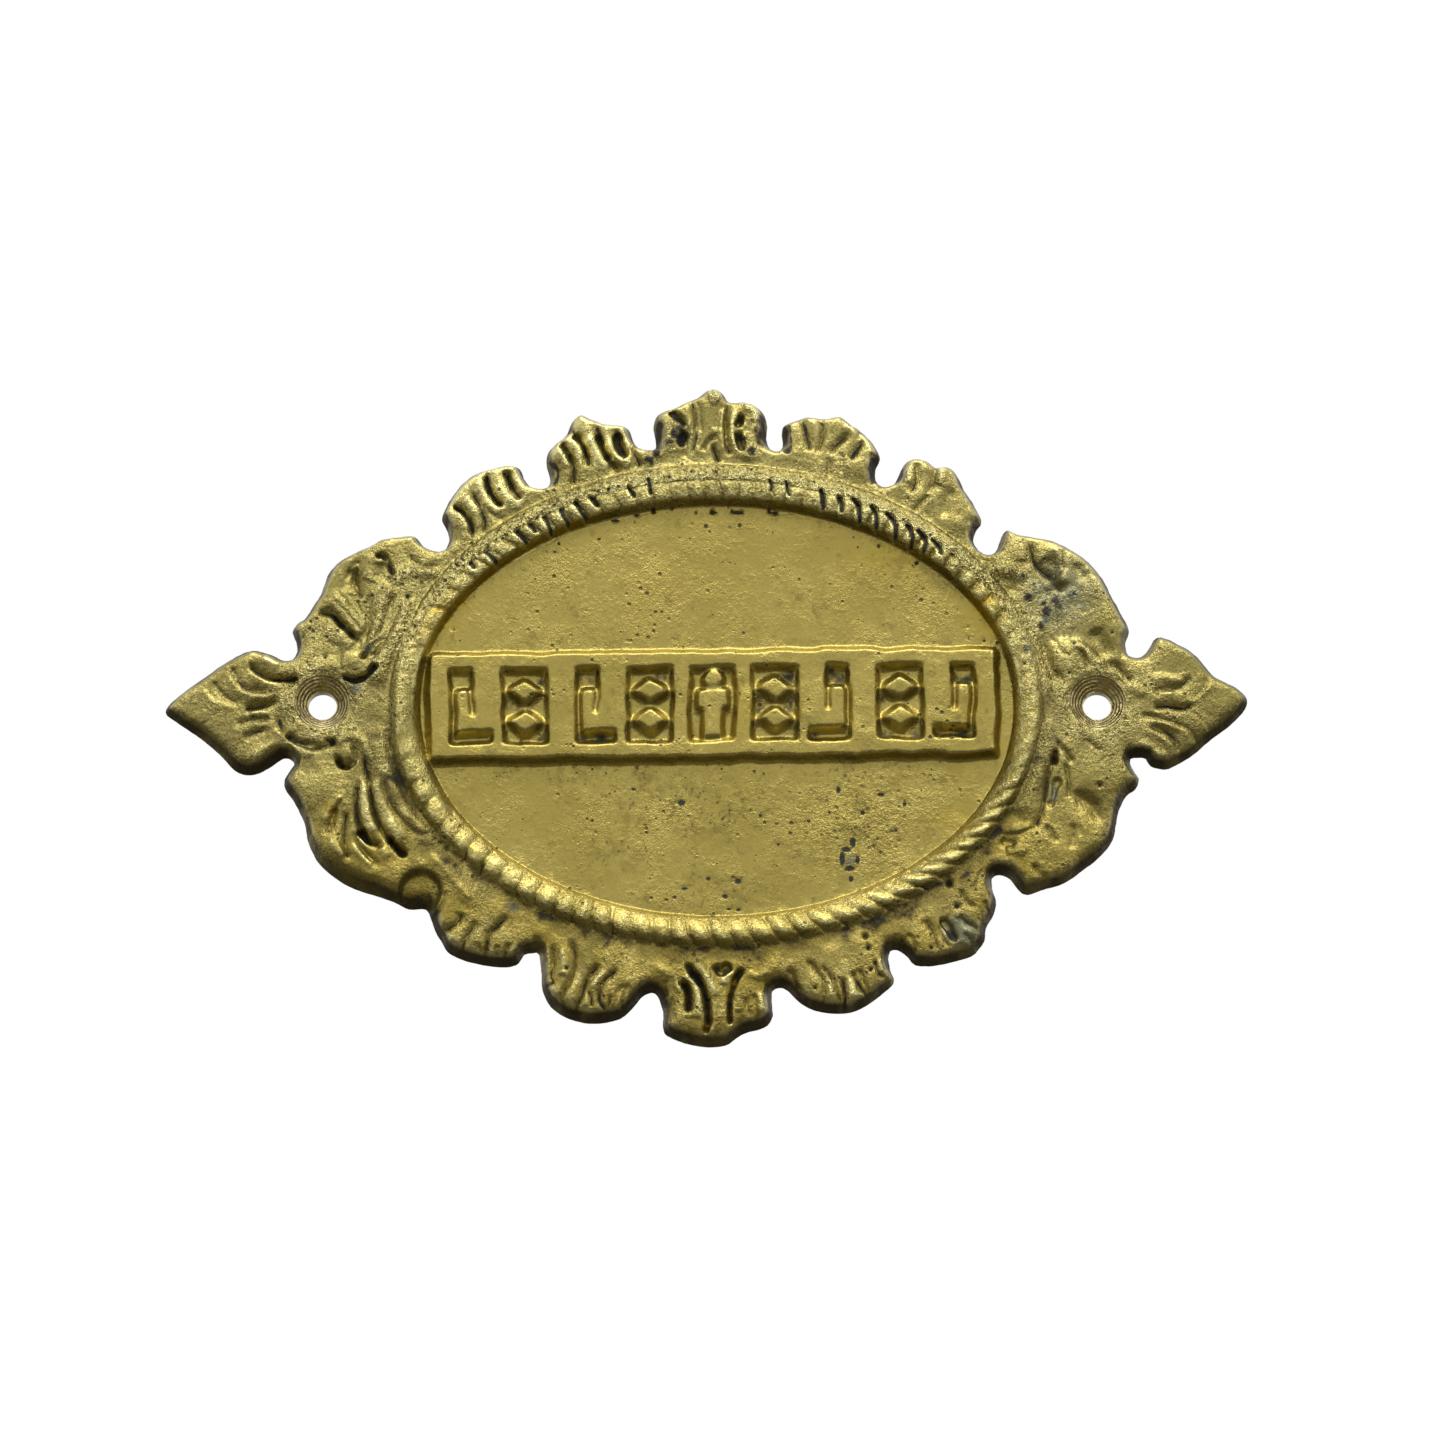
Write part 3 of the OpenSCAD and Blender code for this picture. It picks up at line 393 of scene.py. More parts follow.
cornerGrooves = [
    # upper left
    (1.5, 1.3, (-57.2, 11.2), (-58.6, 12.6), (-59.3, 13.4), (-60.6, 14.5), (-61.5, 15.7), (-62.6, 16.5),
     (-64, 16.7)),
    (1.1, 0.7, (-56.6, 11), (-56.5, 14), (-56.3, 17), (-56.2, 19.3)),
    (0.8, 0.45, (-57.2, 13), (-58.6, 15), (-60.2, 17), (-61.8, 18.6)),
    (0.8, 0.45, (-57, 14.4), (-58.2, 16.2), (-59.8, 18.4), (-61.2, 19.9)),
    (0.8, 0.4, (-57, 15.8), (-58, 17.8), (-59, 19.6)),
    (1.3, 1.1, (-57.6, 18.8), (-57.9, 20.2), (-58.3, 21.6), (-58.6, 22.8), (-58.4, 24)),
    (0.8, 0.5, (-57.9, 22.5), (-57.7, 24.4), (-58.1, 25.4), (-59.1, 24.8), (-60, 22.8)),
    (1.2, 0.9, (-55.4, 11.9), (-54.3, 13.4), (-53.6, 15.1), (-53, 17.3), (-52.2, 19.4)),
    (1.4, 0.8, (-56, 8.6), (-54.5, 10.1), (-53, 12.6), (-51.8, 16), (-50.8, 18.6)),
    (0.9, 0.8, (-45, 24.5), (-46, 24.7), (-47.3, 24.6), (-48.3, 25.3), (-49.3, 26.2)),
    (0.8, 0.6, (-60.4, 6), (-60.8, 7), (-61, 8.6), (-60.8, 10.4)),
    (0.8, 0.4, (-63, 12), (-62, 11), (-61, 10.8)),
    # lower left
    (1.4, 1.3, (-57.6, -7.2), (-56.8, -8.3), (-56.5, -10), (-56, -12), (-55.6, -14), (-55.2, -16.5),
     (-54.6, -18.5), (-53.8, -20.5), (-52.5, -22.3), (-51.3, -23.7), (-50, -24.9)),
    (1.4, 1.3, (-57.6, -12), (-57.8, -14), (-57.9, -16.5), (-57.8, -18.5), (-57.3, -20.3), (-56.5, -22),
     (-55.5, -23), (-54.3, -23.4)),
    (1.4, 1.1, (-59.5, -17.6), (-59.8, -20), (-59.9, -22), (-59.7, -24), (-59.3, -25.3)),
    (1.2, 1.0, (-58, -20.8), (-57.8, -22.2), (-57.2, -23.6), (-56.3, -24.8), (-55.2, -26), (-54.5, -26.7)),
    (1.3, 0.7, (-53.8, -11), (-53.3, -13.6), (-52.6, -16), (-51.4, -18), (-49.7, -20), (-47.8, -21.5),
     (-46, -21.8)),
    (1.2, 0.9, (-60.3, -15.6), (-61.3, -17.2), (-62.1, -19), (-62.6, -21)),
    (0.9, 0.9, (-59.3, -6.5), (-58.4, -7), (-58.1, -8.3), (-58.6, -9.5), (-59.6, -10), (-60.6, -9.6),
     (-61.3, -8.4)),
    (1.2, 0.9, (-53, -3), (-52.5, -6), (-51.8, -9), (-50.7, -13), (-49.2, -15.8), (-48, -17.5),
     (-45.5, -18.8)),
    # upper right
    (1.6, 1.5, (59.9, 20), (58.9, 21.6), (58, 22.8), (57, 23.4), (55.8, 24.3), (54.9, 25.4),
     (54.5, 26.7), (54.3, 27.9)),
    (0.9, 0.7, (59.8, 24.2), (59.7, 25.5), (59.9, 26.9)),
    (0.8, 0.4, (65.5, 20), (65.4, 21.6), (65.2, 23.6)),
    (0.9, 0.8, (62.2, 10.2), (63, 9), (63.4, 7.6)),
    (0.8, 0.5, (58.9, 18), (59, 15), (59.3, 12.6)),
    (0.7, 0.4, (61.2, 14.1), (61, 12.3)),
    (0.7, 0.5, (69, 11.6), (69.1, 10.5), (69.3, 9.4)),
    (0.9, 0.8, (68.4, 7.3), (69.5, 6.4), (70.4, 5.2)),
    (0.8, 0.4, (57.2, 12.8), (58.4, 11.2), (59, 9.8), (60.4, 9.2)),
    # lower right
    (1.4, 1.2, (57.9, -7.4), (57.6, -9), (57, -10.6), (56.5, -13), (56.2, -15), (55.9, -17),
     (55.3, -18.7), (54.8, -19.9)),
    (0.8, 0.8, (59.5, -9.2), (60, -11), (60.2, -13), (60.1, -14.9)),
    (1.1, 0.9, (56.3, -20), (57, -21.4), (57.9, -22.5)),
    (1.3, 0.7, (60.8, -19.6), (60.9, -21.5), (60.4, -23.4)),
    (0.7, 0.4, (61.8, -20), (62, -21.6)),
    (1.0, 0.9, (58.6, -5.2), (58.6, -6.4), (59.6, -7.4), (60.6, -8.9)),
    (0.9, 0.6, (63, -5.2), (64.2, -6.2), (65.2, -7)),
    (1.2, 1.0, (54.1, -26.7), (55, -28), (56.1, -28.8)),
    (1.0, 0.7, (48.2, -20.9), (50, -21.6), (52.2, -21.4), (54.6, -20.3)),
]

# Broad hollows with no line in them: width, depth, points
valleys = [
    (2.4, 0.7, (-58.6, 20.4), (-58.9, 22.4), (-58.8, 24.6)),
    (2.6, 0.6, (-54.4, 22), (-54.2, 24), (-54.2, 25.6)),
    (2.0, 0.5, (-61.5, -16.6), (-61.6, -19), (-62, -21.5)),
    (3.2, 1.0, (58.8, 22.4), (57.6, 24.8), (56.2, 26.6)),
    (2.0, 0.5, (61.4, 25.6), (62.5, 23.6), (63.4, 22)),
    (3.2, 0.9, (64.2, 14.2), (65.3, 12.4), (66.3, 10.2), (66.9, 8.4)),
    (1.8, 0.9, (55.2, 13.4), (56, 11), (56.7, 8.4), (57.6, 6.4), (59, 5.2), (60.8, 4.9)),
    (2.2, 0.5, (52.8, 26), (52.9, 24.6)),
    (1.6, 0.4, (44.4, 26.6), (46, 25.4), (48.4, 25.1)),
    (2.2, 0.9, (61.2, -13.6), (62.4, -15.4), (64, -16.6), (65, -18.6), (65.2, -20.5)),
    (1.8, 0.9, (48.8, -22.1), (50, -23), (51.8, -23.5)),
    (2.2, 0.6, (-70.8, 3.2), (-69.4, 4.6), (-67.6, 5.2)),
    (2.4, 0.5, (-70.5, 1), (-70, -1.5), (-68.8, -3.2)),
    (2.0, 0.6, (39.8, 32.5), (39.9, 34.4), (40.2, 36.2), (41, 37.8), (41.9, 38.4)),
]

# Flat-bottomed pockets: width, depth, oxide, points
pockets = [
    (0.6, 1.0, 0.9, (-54.6, 26.6), (-53.7, 26.4), (-53.1, 25.6), (-52.8, 24.5), (-52.4, 23.4)),
    (1.1, 1.5, 1.0, (-60.4, 5.5), (-59, 5.1), (-57.6, 5.2), (-56.3, 5.9), (-55.3, 7.2)),
    (0.8, 1.0, 0.6, (-57, 8.9), (-56.2, 10.2), (-55.5, 10.9), (-54.9, 11.8)),
    (0.6, 0.7, 1.0, (-61.9, 16), (-61.2, 15.2), (-60.5, 14.5)),
    (0.5, 0.6, 1.0, (-59.6, 13.5), (-59, 12.9)),
    (0.9, 1.1, 1.0, (-56.9, -21.4), (-56.2, -22.4), (-55.4, -23)),
    (0.9, 1.2, 1.0, (-52, -22.8), (-51, -24), (-50.2, -24.9)),
    (0.8, 0.9, 1.0, (-61, -8.9), (-60.3, -9.8), (-59.5, -10)),
    (0.8, 0.8, 1.0, (-69.2, -4.6), (-67.5, -5.5), (-65.5, -5.9)),
    (0.8, 0.7, 0.9, (-63, -5.3), (-62, -5.6)),
    (0.6, 0.7, 1.0, (-71.8, 5.3), (-70, 5.5), (-68.3, 5.7)),
    (1.0, 0.7, 0.1, (58.1, -12.6), (57.7, -14.6), (57.1, -16.4)),
    (0.7, 0.8, 1.0, (58, -7.4), (57.9, -9)),
    (0.8, 0.8, 0.8, (51, 11.4), (51.4, 11.1)),
    (1.5, 1.2, 1.0, (-7.9, 49.8), (-7.9, 48), (-7.8, 46)),
    (1.2, 1.3, 1.0, (-5.5, 51.6), (-4.6, 50.7), (-3.7, 49.9)),
    (1.2, 1.2, 1.0, (-4, 47.6), (-4.3, 46.4)),
    (1.0, 1.2, 1.0, (5.8, 50.9), (5.5, 50.2), (5.2, 49.6)),
    (1.1, 1.2, 1.0, (5.4, 47.7), (5.6, 46.6), (5.8, 45.6)),
    (1.5, 0.8, 0.9, (9.2, 51.2), (9.4, 49), (9.5, 46.8)),
    (1.1, 1.0, 1.0, (13.4, 48.6), (13.5, 46.8), (13.6, 45)),
    (1.7, 1.2, 1.0, (28.4, 43.6), (27.6, 42.2), (28, 40.4)),
    (1.0, 0.8, 0.8, (33, 42.2), (32.7, 41.2), (32.3, 40.2)),
    (1.2, 0.9, 0.9, (45.6, 32.4), (45, 31.4), (44.6, 30.2)),
    (1.6, 1.2, 1.0, (1.8, -44.6), (2.6, -45.3), (3.3, -44.6)),
    (0.8, 0.9, 1.0, (-2.7, -44.3), (-2.2, -45.4), (-1.3, -46.3), (-0.5, -47.8), (0, -49.5), (0.3, -51.5),
     (0.4, -53.5),
     (0, -54.8)),
    (0.9, 0.9, 1.0, (-3.7, -47.1), (-3, -48.2), (-2.7, -49.5), (-2.8, -51.2)),
    (0.6, 0.8, 1.0, (5.9, -45), (4.9, -46.4), (4.4, -48), (4, -50), (3.9, -52), (4.1, -53.4)),
    (0.7, 0.6, 0.8, (-36.8, 40), (-36.5, 38.6), (-35.9, 37.3), (-35.2, 36.4), (-34.4, 35.6)),
    (0.8, 0.6, 0.8, (-33.4, 40.9), (-32.9, 39.7), (-32.2, 38.4)),
    (0.6, 0.5, 1.0, (-41.8, 35.1), (-40.6, 34.2), (-39.6, 32.8), (-39.2, 31.2)),
    (0.8, 0.5, 0.7, (-24, 46.1), (-23, 44.5), (-22.3, 43)),
    (0.8, 0.6, 0.75, (-21.6, 47.6), (-20.6, 46), (-20, 44.3)),
    (0.9, 0.7, 0.75, (-17.9, 47.4), (-17.3, 45.6), (-16.4, 43.8)),
    (1.3, 0.7, 0.8, (-14.9, 47.4), (-14.6, 46), (-13.8, 44.8)),
    (1.1, 0.9, 0.9, (39.3, -36.8), (40.2, -38), (40.9, -39.2)),
]

# Scoops that fall away to the rim: x, z, radius, depth
coves = [(-47.2, -31.2, 3.9, 2.0)]

# Stems and soft swells: width, rise, coarseness, points
swells = [
    (2.6, 0.7, 1.0, (-55.5, 3.5), (-54, 8), (-52.3, 11), (-50.8, 14.5), (-49.8, 17.5), (-49, 20)),
    (1.9, 0.5, 0.9, (-56.3, 8.6), (-55, 12.7), (-54.3, 16), (-53.6, 19.3), (-52.4, 21.8)),
    (2.4, 0.5, 0.2, (-57, 12.8), (-58.8, 15.4), (-60.6, 17.8), (-62.4, 20)),
    (3.0, 0.5, 0.1, (-58.8, 10.4), (-61, 12.8), (-64, 14)),
    (1.0, 0.5, 0.3, (-66.5, 6.4), (-64.2, 7.1), (-62.6, 6.5), (-61, 5.6), (-60.3, 4.2), (-59.4, 2.7),
     (-58.3, 1.8)),
    (1.6, 0.4, 0.7, (-53, 21.5), (-50, 23.6), (-47, 23.8), (-44, 23)),
    (2.4, 0.4, 0.1, (-56.6, 22), (-56, 24), (-55.8, 27)),
    (1.2, 0.5, 0.1, (-61.6, -6.6), (-60, -5), (-58.3, -4.9), (-56.8, -6.1), (-56, -7.9), (-55.2, -9.8)),
    (2.8, 0.6, 0.3, (-55.3, -2), (-54.4, -7), (-53, -10.5), (-51.9, -14), (-50.3, -17), (-48.3, -19.5),
     (-45.8, -21.4), (-43.5, -23.2)),
    (0.5, 0.45, 0, (-60.1, -14.8), (-61.6, -16.7), (-62.8, -18.1), (-63.5, -19.5)),
    (1.0, 0.5, 0.2, (-72, -4), (-70, -4.3), (-68, -5.6), (-66.5, -6.9), (-65, -8.2)),
    (2.4, 0.5, 0.1, (-55, -11.5), (-54.3, -15), (-53, -18.3), (-51.3, -21), (-49.4, -23)),
    (2.0, 0.4, 0.1, (-56.9, -12), (-56.8, -16), (-55.9, -19.2), (-54.7, -21.8)),
    (2.6, 0.7, 0.6, (49.8, 20.5), (52.4, 16.5), (54, 12.5), (55.1, 8.5), (55.9, 4.5), (56.6, 1)),
    (1.5, 0.6, 1.0, (42.3, 28), (43.4, 26.2), (45, 24.8), (47, 24.4), (49, 24.2), (51, 23.7), (53, 22.9)),
    (1.3, 0.45, 0.4, (61, 11.8), (63, 10.2), (65, 8.4), (66.2, 7.2)),
    (1.3, 0.4, 0.2, (59.3, 27.5), (59.6, 24.5), (59.9, 21.5)),
    (2.6, 0.7, 0.4, (56.6, -1), (56, -5), (55.2, -9), (54.2, -12.6), (53, -16), (51.6, -19)),
    (1.4, 0.4, 0.4, (49.5, -24.4), (51.4, -24.3), (53, -24.9)),
    # reeds of the upper lobes
    (1.4, 0.35, 0.1, (-38.2, 40), (-37.6, 38.6), (-36.9, 36.9), (-36.1, 35.7), (-34.9, 34.7),
     (-33.7, 33.9)),
    (1.4, 0.35, 0.1, (-34.8, 39.6), (-34.4, 38.2), (-33.4, 36.8), (-32, 35.8), (-30.2, 35)),
    (1.2, 0.3, 0.1, (-40.2, 37), (-39.4, 35.6), (-38.4, 34.6), (-37.8, 33.6)),
    (1.2, 0.3, 0.1, (-41.5, 34.6), (-40.6, 33.2), (-39.8, 32.2), (-39.4, 31)),
    (1.5, 0.35, 0.1, (-25, 45.4), (-24, 44.4), (-23.3, 43.2), (-22.9, 42)),
    (1.3, 0.3, 0.1, (-22.7, 47), (-21.8, 46.2), (-20.9, 45), (-20.3, 44)),
    (1.5, 0.4, 0.1, (-19.8, 47.6), (-19, 46), (-18.2, 44.4), (-17.2, 43), (-16, 42)),
    (1.5, 0.4, 0.1, (-17, 46.8), (-16.2, 45.4), (-15.2, 44), (-13.8, 43), (-12.2, 42.2)),
    (1.0, 0.3, 0.1, (3, 52.6), (2.6, 50.5), (2.7, 48.5), (2.9, 46.5), (3.4, 44.8)),
    (1.1, 0.35, 0.1, (5, 52.4), (4.6, 50.5), (4.4, 48), (5.2, 45.6), (6.4, 44.2), (8, 43)),
    (0.9, 0.3, 0.1, (-1.1, 49), (-1.5, 46.5), (-2.3, 44.4)),
    (2.2, 0.3, 1.0, (0.2, 54.8), (1.4, 54.9), (2.6, 54.5)),
    (1.6, 0.35, 0.7, (6, 52.8), (7.6, 52.6), (8.6, 51.4), (8.4, 49.6)),
    (1.4, 0.35, 0.2, (34, 42.4), (34.4, 40.6), (34, 39)),
    (1.4, 0.3, 0.6, (39.4, 42.2), (39.4, 40.6), (38.8, 38.8)),
    # reeds of the lower lobes
    (1.6, 0.3, 0.1, (24, -45.4), (24.1, -48), (24, -51)),
    (1.4, 0.3, 0.1, (20.6, -46.4), (20.8, -49.6)),
    (1.2, 0.3, 0, (28.3, -42.8), (29, -45.4)),
    (1.0, 0.35, 0.1, (-8.6, -43.9), (-6.8, -45.2), (-5.4, -45.8), (-4.7, -47.4), (-4.2, -49)),
    (1.2, 0.35, 0.1, (-4, -44.9), (-2.6, -46.2), (-1.7, -47.6), (-1.3, -49.4), (-1.1, -51.5),
     (-1.1, -53.6)),
    (1.2, 0.4, 0.2, (-1.6, -43), (-0.6, -44.8), (0.4, -46.6), (1.2, -48), (2, -49.4)),
    (1.1, 0.3, 0.1, (4.4, -45), (3.2, -46.2), (2.7, -47.6)),
    (1.0, 0.3, 0.1, (6.9, -45), (7.6, -45.7), (9, -45.9), (10.3, -44.7)),
    (1.2, 0.35, 0.1, (9, -48.6), (9.2, -50.4), (9.5, -52.4)),
    (1.0, 0.3, 0.1, (-16.4, -44.9), (-17.8, -46.4), (-18.6, -48)),
    (1.0, 0.3, 0.1, (-24, -41), (-23.4, -43.6), (-23.6, -46)),
]

# Rounded lumps: x, z, radius, rise
lumps = [
    (-59, 8.3, 1.8, 0.7), (-62.5, -13.6, 3.4, 0.4), (-65.5, -14.5, 3.6, 0.45), (-59.9, -7.6, 1.4, 0.6),
    (-61.2, -23.5, 2.2, 0.3), (60, 9.2, 2.8, 0.6), (64.6, -11.8, 3, 0.5), (58.2, -24, 2, 0.3),
    (63, -20.6, 2.2, 0.35), (59.8, -6.6, 1.8, 0.4), (55.3, -22.5, 1, 0.25), (67.5, 13.5, 3, 0.3),
]

# Clusters of rough black metal: x, z, radius
burns = [
    (54.6, 21, 1.1), (53.5, 19.6, 1.3), (57.2, 21.3, 0.8), (58.2, 19, 1.1), (57, 16.8, 1.2),
    (61.3, 19.9, 1.1),
    (55.9, 14.6, 0.8), (56.2, 18.4, 0.6), (-4.4, 48, 2.2), (-6.4, 46.4, 1.2), (51.4, 23.4, 0.7),
    (52.8, 23, 0.8),
    (-9.3, 47.4, 1.1), (-9.6, 43.2, 1.3), (6.4, 47, 0.9), (8.6, 49, 0.8), (7.4, 44.8, 1.2),
    (-8.4, 44.6, 1.0),
]

# Grey, lead-like metal: x, z, radius along x, radius along z
leadSpots = [
    (57.7, -14.6, 0.8, 2.1), (42, -38.1, 3.9, 3.3), (-31.9, -34.1, 1.4, 1.1), (23.9, -25.4, 0.9, 1.2),
    (61.3, 20, 1.2, 1),
    (-58.2, 3.6, 1.6, 1.2), (56.6, 15.4, 1, 1.4), (-56.2, 10.4, 0.9, 1.2), (53.4, 10, 1, 1),
]

# Painted reflections: warm places, where the metal mirrors its own colour: x, z, radius along x, radius
# along z
warmReflectionSpots = [
    (-43.6, 15.6, 2.6, 2.4), (-40.5, 18.6, 2.4, 1.8), (-46.2, 12, 1.2, 1.6), (45.5, 17, 3, 3.4),
    (-62.2, -17.4, 0.8, 1.6),
    (47.5, 13.6, 1.6, 1.6), (41, -18, 3, 2.4), (6.5, 0, 2, 5), (30, 27, 6, 2.4),
]

# Duller, greyer areas: x, z, radius along x, radius along z, share
dullAreas = [(59, 20, 10, 11, 0.66), (80, 2, 8, 8, 0.25), (56, -14, 6, 8, 0.2), (0, 50, 10, 5, 0.25)]

# Areas of the border painted paler as a whole, a painted highlight: x, z, radius along x, radius along z,
# share
paintedPaleAreas = [
    (-20, -46, 8, 6, 0.9), (-36, -38, 8, 5, 0.9), (1, -50, 8, 6, 0.8), (21, -46, 9, 5, 0.8),
    (-20, 46, 7, 6, 1.0),
    (-36, 37, 8, 5, 1.0), (-56, -18, 9, 10, 0.7), (38, -36, 6, 5, 0.5), (21, 47, 8, 4, 0.4),
]

# Rougher ground in the field: x, z, radius along x, radius along z, share
roughAreas = [(27, -19, 10, 8, 0.75), (-20, 26, 12, 5, 0.3), (-6, -16, 8, 3, 0.3), (36, 14, 8, 8, 0.25)]

# Brown stains on the field: x, z, radius along x, radius along z, share
stainedAreas = [
    (-22, -9.6, 24, 2.2, 0.8), (28, -9.4, 16, 2.4, 0.7), (47, 6, 2.6, 6, 0.8), (-46.6, 0, 2, 8, 0.9),
    (-2, -17, 17, 5, 1.0), (24, -20, 10, 8, 0.9), (2, -31, 10, 3.5, 0.8), (36, 24, 9, 5, 0.7),
    (-14, -24, 8, 4, 0.7),
]

